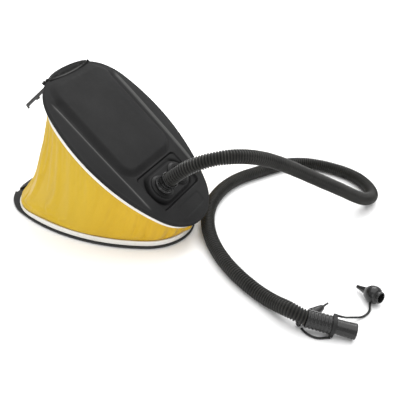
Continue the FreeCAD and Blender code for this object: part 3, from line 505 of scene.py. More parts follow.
def coated_fabric():
    """Amber coated cloth with a fine weave, streaks, and deeper orange painted shade in the short folds."""
    sh = Shader("bellows_fabric")
    uv = sh.coords("UV")
    co = sh.coords()
    weave = sh.maths("MULTIPLY", sh.bands(uv, "X", 310.0), sh.bands(uv, "Y", 310.0))
    streak = sh.noise(uv, scale=3.0, detail=5, rough=0.62, stretch=(9.0, 1.6, 1.0))
    blotch = sh.noise(co, scale=9.0, detail=5, rough=0.65)
    specks = sh.noise(co, scale=420.0, detail=4, rough=0.6)
    colour = sh.mix(sh.ramp(blotch, (0.30, 0.0), (0.72, 1.0)),
                    (0.545, 0.352, 0.008), (0.600, 0.398, 0.016))
    colour = sh.mix(sh.ramp(streak, (0.46, 0.0), (0.78, 0.55)), colour, (0.455, 0.280, 0.006))
    # painted shade: deeper orange in the folds where the cloth is short
    fold_shade = sh.maths("MULTIPLY", sh.attribute("fold_shade"), 0.75)
    colour = sh.mix(fold_shade, colour, (0.600, 0.325, 0.0006))
    colour = sh.mix(sh.ramp(specks, (0.55, 0.0), (0.85, 0.25)), colour, (0.42, 0.28, 0.02))
    colour = sh.mix(sh.maths("MULTIPLY", weave, 0.16), colour, (0.72, 0.54, 0.05))
    sh.set("Base Color", colour)
    sh.set("Roughness", sh.ramp(streak, (0.3, 0.44), (0.75, 0.60)))
    sh.set("Specular IOR Level", 0.32)
    sh.set("Sheen Weight", 0.04)
    sh.set("Sheen Roughness", 0.5)
    sh.bumps((weave, 0.35, 0.00018), (streak, 0.22, 0.0016), (specks, 0.10, 0.0004))
    return sh.material


def metal(name, *, grey, roughness):
    sh = Shader(name)
    co = sh.coords()
    patches = sh.noise(co, scale=60, detail=4, rough=0.6)
    texture = sh.noise(co, scale=1200, detail=2)
    colour = sh.mix(sh.ramp(patches, (0.35, 0.0), (0.7, 1.0)),
                    (grey * 0.8,) * 3, (grey, grey, grey * 0.97))
    sh.set("Base Color", colour)
    sh.set("Metallic", 1.0)
    sh.set("Roughness", sh.ramp(texture, (0.3, roughness - 0.08), (0.7, roughness + 0.1)))
    sh.bumps((texture, 0.08, 0.0002))
    return sh.material


def pale_floor():
    sh = Shader("floor_pale")
    sh.set("Base Color", (0.90, 0.90, 0.90))
    sh.set("Roughness", 0.9)
    sh.set("Specular IOR Level", 0.0)
    return sh.material


# the treadle gets painted shade in its hollows and painted highlights on its crease and grip
TREADLE_MAT = dark_plastic("treadle_plastic", base=0.0165, roughness=0.66, grain=0.16,
                           specular=0.075, tint=(1.0, 1.0, 1.01), painted_light=True)
BASE_MAT = dark_plastic("base_plastic", base=0.0110, roughness=0.42, grain=0.12, specular=0.22)
FITTING_MAT = dark_plastic("fitting_plastic", base=0.0090, roughness=0.25, grain=0.08,
                           specular=0.42, edge=0.05)
RUBBER_MAT = dark_plastic("rubber_black", base=0.0080, roughness=0.50, grain=0.14,
                          specular=0.30, edge=0.03)
PORT_MAT = dark_plastic("port_plastic", base=0.0045, roughness=0.36, grain=0.06,
                        specular=0.12, edge=0.03)
HOSE_MAT = hose_plastic()
BEAD_MAT = bead_white()
FABRIC_MAT = coated_fabric()
STEEL_MAT = metal("zinc_steel", grey=0.62, roughness=0.30)
SPRING_MAT = metal("spring_steel", grey=0.33, roughness=0.34)


# ---------------------------------------------------------------- treadle relief
def rect_distance(x, y, x_from, x_to, half_y, radius):
    """Signed distance to a rounded rectangle centred on y = 0, negative inside."""
    centre, half_x = (x_from + x_to) / 2, (x_to - x_from) / 2
    qx, qy = np.abs(x - centre) - half_x + radius, np.abs(y) - half_y + radius
    outside = np.hypot(np.maximum(qx, 0), np.maximum(qy, 0))
    return outside + np.minimum(np.maximum(qx, qy), 0) - radius


def boss_distance(x, y):
    return np.hypot(x - PORT_X, np.maximum(np.abs(y) - PORT_Y, 0)) - BOSS_RADIUS


def crease_y(x):
    """Distance from the centre line of the crease along each side."""
    return 71.3 - 0.000166 * (x + HALF_LENGTH - 60.0) ** 2


def end_depth(x, y):
    """Distance in from the free end's arc."""
    return np.maximum(0.0, FREE_END_RADIUS - np.hypot(x - FREE_END_CENTRE_X, y))


def grip_width(y):
    """Depth of the crescent grip at the free end."""
    return 8.4 - 5.2 * (y / 43.0) ** 2


def relief(x, y):
    """Height of the treadle's upper face above the rim plane."""
    from_end, across = x + HALF_LENGTH, np.abs(y)
    inset = inset_of(x, y)
    # domed margin with a fine rolled edge
    h = 3.75 * (1 - (1 - np.clip(inset / 23.0, 0, 1)) ** 2)
    h = h + 0.55 * bell((inset - 2.2) / 1.3)
    # crease, then a valley beside the tread, both fading out towards the ends
    crease = crease_y(x)
    ends = smooth((from_end - 31) / 12) * smooth((228 - from_end) / 18)
    h = h + ends * 0.5 * bell((across - crease - 1.0) / 1.4)
    h = h - ends * 1.5 * smooth((crease - across + 1.3) / 2.8)
    h = h - 0.9 * smooth((crease - across) / 8.0) * ends * smooth((230 - from_end) / 40)
    # tread panel, slightly crowned, with a groove at the foot of its slope
    d = rect_distance(x, y, *TREAD_PANEL)
    raised = smooth(1 - d / 11.0)
    crown = np.cos(np.clip(y / TREAD_PANEL[2], -1, 1) * math.pi / 2) * np.clip(-d / 20, 0, 1)
    h = h * (1 - raised) + (7.0 + 0.25 * crown) * raised
    h = h - 0.35 * bell((d - 11.2) / 1.1) * ends
    # recess round the ports, with a fine quirk at the foot of its wall
    recess = rect_distance(x, y, *PORT_RECESS)
    sunk = smooth((0.9 - recess) / 1.8)
    h = h * (1 - sunk) + (-0.4) * sunk
    in_quirk = (np.abs(x - RECESS_MID_X) > 26.0) * (across < 51)
    h = h - 1.0 * bell((recess + 1.3) / 0.65) * in_quirk
    # port boss: a moat round its ends, a sloping wall and a flat top
    boss = boss_distance(x, y)
    h = h - 1.9 * bell((boss - 5.0) / 2.6) * smooth((across - 24.0) / 14.0) * (recess < -1.0)
    on_boss = smooth(1 - boss / 4.2)
    h = h * (1 - on_boss) + BOSS_TOP * on_boss
    h = np.where((boss < -0.2) & (np.abs(h - BOSS_TOP) < 0.3), BOSS_TOP, h)
    # shallow label recess near the hinge
    d = rect_distance(x, y, *LABEL_RECESS)
    h = h - 0.9 * smooth((0.7 - d) / 1.4) - 0.25 * bell((d - 0.9) / 0.8)
    # free-end grip: a raised crescent and the groove on its hinge side
    depth, width = end_depth(x, y), grip_width(y)
    crescent = smooth((depth - 0.5) / 0.9) * smooth((width - depth) / 1.0)
    h = h + smooth((43.2 - across) / 1.6) * crescent * (2.9 - 0.04 * depth * depth)
    groove = smooth((depth - width - 0.1) / 0.8) * smooth((width + 4.6 - depth) / 2.2)
    return h - smooth((44.5 - across) / 3.0) * groove * 1.3


def relief_normals(x, y):
    step = 0.12
    slope_x = (relief(x + step, y) - relief(x - step, y)) / (2 * step)
    slope_y = (relief(x, y + step) - relief(x, y - step)) / (2 * step)
    return unit_rows(np.stack([-slope_x, -slope_y, np.ones_like(slope_x)], -1))


# ---------------------------------------------------------------- treadle shell
GRID_STEP = 1.3                             # plain mesh points
MIN_SPACING = 0.42                          # closest two mesh points may lie


def free_end_x(y, depth=0.0):
    return FREE_END_CENTRE_X - np.sqrt((FREE_END_RADIUS - depth) ** 2 - y ** 2)


def plan_boundary(count):
    """Outline with both free-end notches cut in, as an ordered loop."""
    points, _, _ = outline(SHELL_ARCS, count)
    points = [(x, y) for x, y in points
              if not (x < -100 and abs(abs(y) - NOTCH_Y) < NOTCH_HALF + 0.25)]

    def notch_wall(y):
        return [(float(x), y) for x in np.linspace(free_end_x(y), NOTCH_FLOOR_X, 8)]

    loop = []
    for i, (x, y) in enumerate(points):
        loop.append((x, y))
        x2, y2 = points[(i + 1) % len(points)]
        over_notch = abs(y - y2) > 3.0 and abs(abs((y + y2) / 2) - NOTCH_Y) < 1.5
        if x < -100 and x2 < -100 and over_notch:
            side = 1 if y > 0 else -1
            half = NOTCH_HALF if abs(y) > NOTCH_Y else -NOTCH_HALF
            y_in, y_out = side * (NOTCH_Y + half), side * (NOTCH_Y - half)
            loop += notch_wall(y_in)
            loop += [(NOTCH_FLOOR_X, float(yk)) for yk in np.linspace(y_in, y_out, 5)[1:-1]]
            loop += notch_wall(y_out)[::-1]
    return loop


def rect_rings(rect, offsets, spacing):
    """Points along copies of a rounded rectangle grown by each offset."""
    x_from, x_to, half_y, radius = rect
    rings = []
    for o in offsets:
        x0, x1, hy, r = x_from - o, x_to + o, half_y + o, max(radius + o, 0.8)
        corners = ((x1 - r, hy - r, 0), (x0 + r, hy - r, 90),
                   (x0 + r, -hy + r, 180), (x1 - r, -hy + r, 270))
        points = []
        for cx, cy, start in corners:
            for t in np.linspace(0, 90, max(3, int(r * 1.57 / spacing))):
                a = math.radians(start + t)
                points.append((cx + r * math.cos(a), cy + r * math.sin(a)))
        points = np.array(points + [points[0]])
        run = np.concatenate([[0], np.cumsum(np.hypot(*np.diff(points, axis=0).T))])
        s = np.arange(0, run[-1], spacing)
        rings.append(np.stack([np.interp(s, run, points[:, 0]),
                               np.interp(s, run, points[:, 1])], 1))
    return rings


def relief_points():
    """Loose mesh points: a plain grid, then lines that follow each feature of the relief."""
    gx, gy = np.meshgrid(np.arange(-139, 139.5, GRID_STEP), np.arange(-97.5, 97.6, GRID_STEP))
    sets = [np.stack([gx.ravel(), gy.ravel()], 1)]
    recess_offsets = (-2.6, -2.1, -1.6, -1.1, -0.6, -0.1, 0.4, 0.9, 1.4)
    sets += rect_rings(PORT_RECESS, recess_offsets, 0.9)
    sets += rect_rings(LABEL_RECESS, (-0.9, -0.3, 0.3, 0.9, 1.6), 0.9)
    # boss wall
    for o in (-1.0, 0.0, 0.8, 1.6, 2.4, 3.2, 4.2, 5.0):
        r = BOSS_RADIUS + o
        t = np.arange(0, math.pi, 0.9 / r)
        half = np.stack([PORT_X + r * np.cos(t), PORT_Y + r * np.sin(t)], 1)
        sets += [half, half * np.array([1, -1])]
        ys = np.arange(-22, 22, 0.9)
        sets += [np.stack([np.full_like(ys, PORT_X + r), ys], 1),
                 np.stack([np.full_like(ys, PORT_X - r), ys], 1)]
    # grip and its groove, at these depths from the free end
    for depth in (0.5, 0.9, 1.35, 1.8, 7.2, 7.7, 8.2, 8.7, 9.2, 9.7, 12.2, 13.6, 15.0):
        ys = np.arange(-47, 47.1, 0.8)
        sets.append(np.stack([free_end_x(ys, depth), ys], 1))
    # ends of the grip
    for y in np.linspace(41.2, 43.6, 5):
        xs = np.arange(-140.5, -124, 0.8)
        sets += [np.stack([xs, np.full_like(xs, y)], 1), np.stack([xs, np.full_like(xs, -y)], 1)]
    # rolled edge
    edge, normals, _ = outline(SHELL_ARCS, 700)
    for inset in (0.45, 1.0, 1.6, 2.2, 2.9, 3.7, 4.6):
        sets.append(edge - normals * inset)
    # side creases
    xs = np.arange(-112, 92, 1.1)
    crease = crease_y(xs)
    for o in (-1.2, -0.5, 0.2, 0.9, 1.7, 2.6):
        sets += [np.stack([xs, crease + o], 1), np.stack([xs, -(crease + o)], 1)]
    return np.concatenate(sets)


def port_distance(points, side):
    return np.hypot(points[:, 0] - PORT_X, points[:, 1] - PORT_Y * side)


def inside_shell(points):
    """Keeps the loose points clear of the outline, the notches and the port holes."""
    x, y = points[:, 0], points[:, 1]
    inset = inset_of(x, y)
    keep = (inset > 0.35) & (inset < 900)
    keep |= (np.abs(x - 20) < 100) & (np.abs(y) < 60)
    keep &= ~((np.abs(np.abs(y) - NOTCH_Y) < NOTCH_HALF + 0.35) & (x < NOTCH_FLOOR_X + 0.4))
    for side in (1, -1):
        keep &= port_distance(points, side) > PORT_HOLE_RADIUS + 0.4
    return points[keep]


def thin_out(fixed, loose):
    """Adds the loose points, last ones first, that are not too close to one already taken."""
    cell = 0.5
    taken = {}

    def cell_of(p):
        return int(p[0] // cell), int(p[1] // cell)

    def clashes(p, i, j):
        return any((q[0] - p[0]) ** 2 + (q[1] - p[1]) ** 2 < MIN_SPACING ** 2
                   for di in (-1, 0, 1) for dj in (-1, 0, 1)
                   for q in taken.get((i + di, j + dj), ()))

    points = list(fixed)
    for p in points:
        taken.setdefault(cell_of(p), []).append(p)
    for p in loose[::-1].tolist():
        i, j = cell_of(p)
        if not clashes(p, i, j):
            taken.setdefault((i, j), []).append(p)
            points.append(tuple(p))
    return points


def shell_plan():
    """Triangulated plan of the treadle: points and triangles, port holes left open."""
    points = plan_boundary(900)
    edges = [(i, (i + 1) % len(points)) for i in range(len(points))]
    for side in (1, -1):
        hole = [(PORT_X + PORT_HOLE_RADIUS * math.cos(t),
                 PORT_Y * side + PORT_HOLE_RADIUS * math.sin(t))
                for t in np.linspace(0, TURN, 49)[:-1]]
        first = len(points)
        points += hole
        edges += [(first + i, first + (i + 1) % len(hole)) for i in range(len(hole))]
    points = thin_out(points, inside_shell(relief_points()))
    result = delaunay_2d_cdt([Vector(p) for p in points], edges, [], 1, 1e-5)
    plan = np.array([[v.x, v.y] for v in result[0]])
    triangles = [tuple(f) for f in result[2]]
    centres = np.array([plan[list(f)].mean(0) for f in triangles])
    in_hole = np.zeros(len(triangles), bool)
    for side in (1, -1):
        in_hole |= port_distance(centres, side) < PORT_HOLE_RADIUS - 0.05
    return plan, [f for f, hole in zip(triangles, in_hole) if not hole]


def open_loops(triangles):
    """Ordered vertex loops round every open edge."""
    edges = [(f[i], f[(i + 1) % 3]) for f in triangles for i in range(3)]
    known = set(edges)
    following = {a: b for a, b in edges if (b, a) not in known}
    seen, loops = set(), []
    for a in following:
        loop = []
        while a not in seen and a in following:
            seen.add(a)
            loop.append(a)
            a = following[a]
        if loop:
            loops.append(loop)
    return loops


# Rim wall, from the upper face down to the flange's lower face:
# outward offset, height, whether the height is from the relief (else the rim plane),
# and how far the shading normal leans up
FLANGE_BOTTOM = 32.97 - RIM
RIM_WALL = [
    (0.0, 0.0, True, 0.75), (0.14, -0.22, True, 0.35), (0.18, -0.7, True, 0.0),
    (0.18, -2.3, False, 0.0), (0.0, FLANGE_BOTTOM, False, -0.6),
    (-4.2, FLANGE_BOTTOM, False, -8.0),
]


def build_shell():
    plan, faces = shell_plan()
    height = relief(plan[:, 0], plan[:, 1])
    slope = relief_normals(plan[:, 0], plan[:, 1])
    # the grip bows outwards between the notches
    bow = np.clip(1 - (plan[:, 1] / 43.4) ** 2, 0, 1)
    plan[:, 0] -= 3.4 * bow * smooth((22 - (plan[:, 0] + HALF_LENGTH)) / 20)
    points = list(on_lid(plan[:, 0], plan[:, 1], RIM + height))
    normals = list(slope[:, :1] * LID_X + slope[:, 1:2] * LID_Y + slope[:, 2:3] * LID_N)
    for loop in open_loops(faces):
        count, first = len(loop), len(points)
        edge = plan[loop]
        along = np.roll(edge, -1, 0) - np.roll(edge, 1, 0)
        along /= np.linalg.norm(along, axis=1, keepdims=True) + 1e-9
        out = np.stack([along[:, 1], -along[:, 0]], 1)
        for offset, level, from_relief, lean in RIM_WALL:
            q = edge + out * offset
            z = height[loop] + level if from_relief else np.full(count, level)
            points += list(on_lid(q[:, 0], q[:, 1], RIM + z))
            normals += list(unit_rows(out[:, :1] * LID_X + out[:, 1:2] * LID_Y + lean * LID_N))
        for k in range(len(RIM_WALL) - 1):
            upper, lower = first + k * count, first + (k + 1) * count
            for i in range(count):
                j = (i + 1) % count
                faces.append((upper + j, upper + i, lower + i, lower + j))
    return make("treadle_shell", np.array(points), faces, normals)


def tag_painted_light(shell):
    """Writes where shade is painted into the hollows and where highlights are painted on the crease and the
    grip.
    """
    x, y, n = to_lid(points_of(shell.data))
    from_end, across = x + HALF_LENGTH, np.abs(y)
    boss, recess = boss_distance(x, y), rect_distance(x, y, *PORT_RECESS)
    depth, width = end_depth(x, y), grip_width(y)
    groove = smooth((depth - width - 0.1) / 0.8) * smooth((width + 3.6 - depth) / 1.8)
    # painted shade: darkening at the foot of the port recess walls, round the boss's ends and in the grip's
    # groove
    painted_shade = np.maximum.reduce([
        0.62 * bell((recess + 1.0) / 0.9) * (np.abs(x - RECESS_MID_X) > 25.0),
        0.85 * bell((boss - 4.8) / 2.4) * smooth((across - 25.0) / 13.0),
        0.45 * bell((boss - 4.2) / 1.2),
        0.6 * groove * smooth((44.0 - across) / 2.0)])
    set_attr(shell, "painted_shade", np.clip(painted_shade * (n - RIM > -2.9), 0, 1))
    # painted highlights: a bright line along each side crease, fading towards the ends, and along the inner
    # edge of the grip
    ends = smooth((from_end - 34) / 12) * smooth((226 - from_end) / 18)
    crease_highlight = 0.80 * bell((across - crease_y(x) - 0.1) / 1.8) * ends
    grip_highlight = 0.55 * bell((depth - width + 0.9) / 0.8) * (across < 42)
    set_attr(shell, "painted_highlight", np.maximum(crease_highlight, grip_highlight))


treadle_shell = build_shell()
tag_painted_light(treadle_shell)
dress(treadle_shell, TREADLE_MAT, "treadle", "top_plate")


# ---------------------------------------------------------------- treadle underside
def build_underside():
    """The CAD treadle's faces below the flange and in the hollow under the tread."""
    ob = cad_copy("top_plate", "treadle_under")
    bm = bmesh.new()
    bm.from_mesh(ob.data)
    # widen the CAD's notches to match the shell's
    cad_notch_half = 1.8
    for v in bm.verts:
        x, y, _ = to_lid(np.array(v.co) * 1000)
        from_notch = abs(y) - NOTCH_Y
        if x < -134.6 and abs(from_notch) < cad_notch_half + 0.1:
            step = math.copysign(NOTCH_HALF - cad_notch_half, from_notch)
            v.co.y += step * math.copysign(1, y) / 1000
    unwanted = []
    for f in bm.faces:
        x, y, n = to_lid(np.array([np.array(v.co) * 1000 for v in f.verts]))
        low = n.max() <= 33.06
        hollow = (n.max() <= 40.6 and x.min() > -107.6 and x.max() < 22.6
                  and np.abs(y).max() < 50.6)
        if not (low or hollow):
            unwanted.append(f)
    bmesh.ops.delete(bm, geom=unwanted, context="FACES")
    bm.to_mesh(ob.data)
    bm.free()
    dress(ob, TREADLE_MAT, "treadle")


build_underside()

# ---------------------------------------------------------------- beads
LOWER_BEAD_Z, LOWER_BEAD_HEIGHT = 4.6, 7.4
UPPER_BEAD_N, UPPER_BEAD_HEIGHT = 26.3, 6.4


def lower_bead_share(x):
    """The lower bead's share of its full height, less towards the free end."""
    return 0.40 + 0.60 * smooth((x + 122.0) / 85.0)


def build_bead(name, height, share, place):
    """A rounded strip round the outline that clamps the fabric."""
    count = 720
    edge, normals, _ = outline(FABRIC_ARCS, count)
    scale = share(edge[:, 0])
    wobble = 0.05 * np.sin(np.arange(count) * 2 * math.pi * 9 / count)
    # outward offset, height
    profile = rounded([(-4.2, 0.0), (-1.75, 0.0), (-1.6, height * 0.5),
                       (-1.75, height), (-4.2, height)], 0.85, segments=4)
    rows = []
    for offset, z in profile:
        q = edge + normals * (offset + (wobble[:, None] if offset > -2.4 else 0))
        rows.append(place(q[:, 0], q[:, 1], z * scale))
    ob = make(name, np.concatenate(rows), closed_grid_faces(count, len(profile)))
    smooth_by_angle(ob, 50)
    return ob


lower_bead = build_bead("lower_beading", LOWER_BEAD_HEIGHT, lower_bead_share,
                        lambda x, y, z: np.stack([x, y, LOWER_BEAD_Z + z], 1))
dress(lower_bead, BEAD_MAT, "base", "lower_bead")
upper_bead = build_bead("upper_beading", UPPER_BEAD_HEIGHT, np.ones_like,
                        lambda x, y, z: on_lid(x, y, UPPER_BEAD_N + z))
dress(upper_bead, BEAD_MAT, "treadle", "upper_bead")

# ---------------------------------------------------------------- bellows fabric
CLOTH_AROUND, CLOTH_UP, HEM_ROWS = 400, 40, 3
CLOTH_INSET = 4.7                           # from the fabric outline
LOWER_GRIP_Z = 4.7                          # the cloth leaves the lower bead from here up
HEM_Z = 4.8
UPPER_GRIP_N = 25.9
FRAMES = 22
MAX_DRIFT = 7.0                             # furthest the simulation may move a point
FOLDS = ((7, 0.9), (11, 0.75), (17, 0.5), (23, 0.4), (31, 0.25))    # waves round, depth

CLOTH_SETTINGS = dict(
    quality=6, mass=0.28,
    tension_stiffness=22, compression_stiffness=22, shear_stiffness=9, bending_stiffness=1.4,
    tension_damping=12, compression_damping=12, air_damping=4,
    vertex_group_mass="pin",
    shrink_min=-0.010,                      # a little slack
    use_pressure=True, uniform_pressure_force=-0.10)    # drawn gently inwards


def loose_cloth():
    """Cloth before it settles: a (row, around) grid, its height share, and the gap it spans."""
    edge, normals, length = outline(FABRIC_ARCS, CLOTH_AROUND)
    ring = edge - normals * CLOTH_INSET
    x, y = ring[:, 0], ring[:, 1]
    low_z = LOWER_GRIP_Z + LOWER_BEAD_HEIGHT * lower_bead_share(edge[:, 0])
    low = np.stack([x, y, low_z], 1)
    high = on_lid(x, y, np.full(CLOTH_AROUND, UPPER_GRIP_N))
    outward = np.stack([normals[:, 0], normals[:, 1], np.zeros(CLOTH_AROUND)], 1)
    span = np.linalg.norm(high - low, axis=1)
    angle = np.arange(CLOTH_AROUND) / CLOTH_AROUND * 2 * math.pi
    phase = rng.uniform(0, TURN, 12)
    short = np.clip(1 - span / 95.0, 0, 1)

    rows = [np.stack([x, y, HEM_Z + (low_z - HEM_Z) * k / HEM_ROWS], 1) for k in range(HEM_ROWS)]
    heights = np.linspace(0, 1, CLOTH_UP)
    for t in heights:
        middle = math.sin(math.pi * t)
        # shallow waist, soft upright folds, and deeper puckers where the gap is small
        waist = -0.014 * np.clip(span - 40, 0, 120) * middle
        folds = np.zeros(CLOTH_AROUND)
        for waves, depth in FOLDS:
            lean = 1.1 * t * math.sin(waves)
            folds += depth * np.sin(waves * angle + phase[waves % 12] + lean)
        pucker = short * (2.2 * np.sin(46 * angle + phase[3] + 2 * t)
                          + 1.2 * np.sin(29 * angle + phase[5]) + 2.4) * middle
        # bulge just above the lower bead, towards the free end
        belly = 3.3 * smooth((-52 - x) / 60) * bell((t - 0.055) / 0.065) * min(1.0, t / 0.02)
        out = waist + belly + folds * middle * 0.95 * (1 - 0.3 * short) + pucker
        rows.append(low * (1 - t) + high * t + outward * out[:, None])
    for k in range(HEM_ROWS):
        rows.append(on_lid(x, y, np.full(CLOTH_AROUND, UPPER_GRIP_N + 1.2 + k * 2.6)))
    share = np.concatenate([np.zeros(HEM_ROWS), heights, np.ones(HEM_ROWS)])
    return np.stack(rows), np.repeat(share[:, None], CLOTH_AROUND, 1), span, length


def settle(ob, before, share):
    """Lets the cloth settle between its pinned hems."""
    group = ob.vertex_groups.new(name="pin")
    pinned = np.where((share <= 0.0) | (share >= 1.0))[0]
    group.add([int(i) for i in pinned], 1.0, "REPLACE")
    md = ob.modifiers.new("Cloth", "CLOTH")
    for key, value in CLOTH_SETTINGS.items():
        setattr(md.settings, key, value)
    md.settings.effector_weights.gravity = 0.15
    md.collision_settings.use_collision = False
    scene = bpy.context.scene
    for f in range(1, FRAMES + 1):
        scene.frame_set(f)
    depsgraph = bpy.context.evaluated_depsgraph_get()
    move = points_of(ob.evaluated_get(depsgraph).to_mesh()) - before
    ob.modifiers.clear()
    scene.frame_set(1)
    distance = np.linalg.norm(move, axis=1, keepdims=True)
    move *= np.minimum(1, MAX_DRIFT / np.maximum(distance, 1e-6))
    ob.data.vertices.foreach_set("co", ((before + move) / 1000).ravel())
    ob.data.update()


def four_point(a, b, c, d):
    """Smooth midpoint between b and c."""
    return (-a + 9 * b + 9 * c - d) / 16


def double_around(grid):
    out = np.empty((grid.shape[0], grid.shape[1] * 2) + grid.shape[2:])
    out[:, 0::2] = grid
    out[:, 1::2] = four_point(np.roll(grid, 1, 1), grid,
                              np.roll(grid, -1, 1), np.roll(grid, -2, 1))
    return out


def double_up(grid):
    ext = np.concatenate([2 * grid[:1] - grid[1:2], grid, 2 * grid[-1:] - grid[-2:-1]], 0)
    out = np.empty((grid.shape[0] * 2 - 1,) + grid.shape[1:])
    out[0::2] = grid
    out[1::2] = four_point(ext[:-3], ext[1:-2], ext[2:-1], ext[3:])
    return out


def unwrap_wall(ob, grid, length):
    """UVs in metres: along the outline, and up the cloth."""
    rows, around = grid.shape[:2]
    steps = np.linalg.norm(np.diff(grid, axis=0), axis=2)
    climb = np.concatenate([np.zeros((1, around)), np.cumsum(steps, 0)], 0)
    layer = ob.data.uv_layers.new(name="UVMap")
    vertex = np.zeros(len(ob.data.loops), int)
    ob.data.loops.foreach_get("vertex_index", vertex)
    row, column = vertex // around, vertex % around
    # quads that close the ring run past the end instead of back to the start
    quads = column.astype(float).reshape(-1, 4)
    wraps = (quads.max(1) - quads.min(1)) > around / 2
    quads[wraps] = np.where(quads[wraps] < around / 2, quads[wraps] + around, quads[wraps])
    u = quads.ravel() * (length / around) / 1000
    layer.data.foreach_set("uv", np.stack([u, climb[row, column] / 1000], 1).ravel())


def build_fabric():
    grid, share, span, length = loose_cloth()
    flat = grid.reshape(-1, 3)
    cloth = make("bellows_cloth", flat, grid_faces(CLOTH_AROUND, len(grid)))
    settle(cloth, flat, share.ravel())
    settled = points_of(cloth.data).reshape(grid.shape)
    bpy.data.objects.remove(cloth)

    fine = double_up(double_around(settled))
    weights = np.clip(double_up(double_around(share)), 0, 1)
    rows, around = fine.shape[:2]
    ob = make("bellows_fabric", fine.reshape(-1, 3), grid_faces(around, rows))
    unwrap_wall(ob, fine, length)
    # painted shade in the folds, strongest where the cloth spans a short gap
    fold_shade = np.clip(1 - np.repeat(span, 2) / 110.0, 0, 1) ** 0.8
    set_attr(ob, "fold_shade", np.tile(fold_shade, rows))
    dress_blended(ob, FABRIC_MAT, "bellows", ("base", "treadle"),
                  (0, 0, 0.013), (0, 0, 0.15), weights.reshape(-1))
    md = ob.modifiers.new("thick", "SOLIDIFY")
    md.thickness = 0.0006
    md.offset = -1


build_fabric()

# ---------------------------------------------------------------- hose
# The end fitting points along END_AXIS, dipping to the floor; its ring's tabs lie on TAB_DIR.
END_YAW, END_DIP, TAB_ROLL = math.radians(15.5), math.radians(6.5), math.radians(50.0)
END_AXIS = np.array([math.cos(END_DIP) * math.cos(END_YAW),
                     math.cos(END_DIP) * math.sin(END_YAW), -math.sin(END_DIP)])
END_TIP = np.array([404.2, -78.0, 10.6])
LEVEL_DIR = np.array([-math.sin(END_YAW), math.cos(END_YAW), 0])
TAB_DIR = LEVEL_DIR * math.cos(TAB_ROLL) + np.cross(END_AXIS, LEVEL_DIR) * math.sin(TAB_ROLL)
HOSE_PORT = on_lid(PORT_X, -PORT_Y, RIM)

# Centre line between the plug and the cuff: x, y, z
HOSE_PATH = [
    (140.5, -17.7, 122.2), (177.4, 3.2, 138.1), (208.0, 38.1, 132.2), (231.6, 75.8, 113.2),
    (256.3, 110.5, 89.9), (285.0, 142.0, 66.5), (314.6, 173.1, 43.5), (340.5, 206.7, 21.6),
    (344.4, 247.2, 11.1), (315.2, 281.1, 10.6), (270.7, 292.6, 10.6), (224.0, 284.4, 10.6),
    (189.3, 255.7, 10.6), (165.2, 214.1, 10.6), (143.5, 171.0, 10.6), (133.8, 124.0, 10.6),
    (137.5, 76.1, 10.6), (153.6, 30.7, 10.6), (180.6, -9.2, 10.6), (216.1, -42.0, 10.6),
    (257.8, -66.6, 10.6), (302.7, -84.4, 13.4), (325.0, -92.6, 18.7),
]
RIB_PITCH, ROWS_PER_RIB, HOSE_SIDES = 3.8, 7, 28
TROUGH_RADIUS, RIB_HEIGHT = 8.45, 1.70
NECK_LENGTH = 74.0                          # the hose is split here, at a whole rib
FLOOR_GAP = 0.25


def build_hose():
    knots = np.array([HOSE_PORT + LID_N * h for h in (13.6, 24.0)]
                     + [np.array(p) for p in HOSE_PATH]
                     + [END_TIP - END_AXIS * back for back in (60.0, 48.0, 37.0)])
    length = spline(knots, 10)[1][-1]
    rib_count = int(round(length / RIB_PITCH))
    centre, run = spline(knots, rib_count * ROWS_PER_RIB + 1)
    tangent = unit_rows(np.gradient(centre, axis=0))
    # carry a sideways direction along the hose without twist
    side = np.zeros_like(centre)
    direction = np.array([0, 1.0, 0])
    for i in range(len(centre)):
        direction = direction - tangent[i] * (direction @ tangent[i])
        direction /= np.linalg.norm(direction)
        side[i] = direction
    up = np.cross(tangent, side)
    phase = (np.arange(len(centre)) % ROWS_PER_RIB) / ROWS_PER_RIB
    ridge = smooth(np.clip(0.5 + 0.62 * np.cos(2 * math.pi * (phase - 0.5)), 0, 1))
    angle = np.arange(HOSE_SIDES) / HOSE_SIDES * 2 * math.pi
    cos, sin = np.cos(angle)[None, :, None], np.sin(angle)[None, :, None]
    cut = int(round(NECK_LENGTH / length * rib_count)) * ROWS_PER_RIB
    last = len(centre) - 1
    # name, first row, last row, the bodies it joins, first end's full-weight length, fade length
    pieces = [("hose_neck", 0, cut, ("treadle", "plug"), 14.0, 52.0),
              ("hose_run", cut, last, ("base", "treadle"), run[cut], 360.0)]
    for name, first, final, bodies, full, fade in pieces:
        idx = np.arange(first, final + 1)
        # a small irregularity and the flat on the floor keep it from looking machined
        radius = (TROUGH_RADIUS + RIB_HEIGHT * ridge[idx] + 0.06 * np.sin(idx * 0.11))
        spokes = side[idx][:, None] * cos + up[idx][:, None] * sin
        points = centre[idx][:, None] + spokes * radius[:, None, None]
        points[..., 2] = np.maximum(points[..., 2], FLOOR_GAP)
        ob = make(name, points.reshape(-1, 3), grid_faces(HOSE_SIDES, len(idx)))
        set_attr(ob, "ridge", np.repeat(ridge[idx], HOSE_SIDES))
        weights = 1 - smooth((run[idx] - full) / fade)
        dress_blended(ob, HOSE_MAT, "hose", bodies,
                      tuple(centre[final] / 1000), tuple(centre[first] / 1000),
                      np.repeat(weights, HOSE_SIDES))


build_hose()


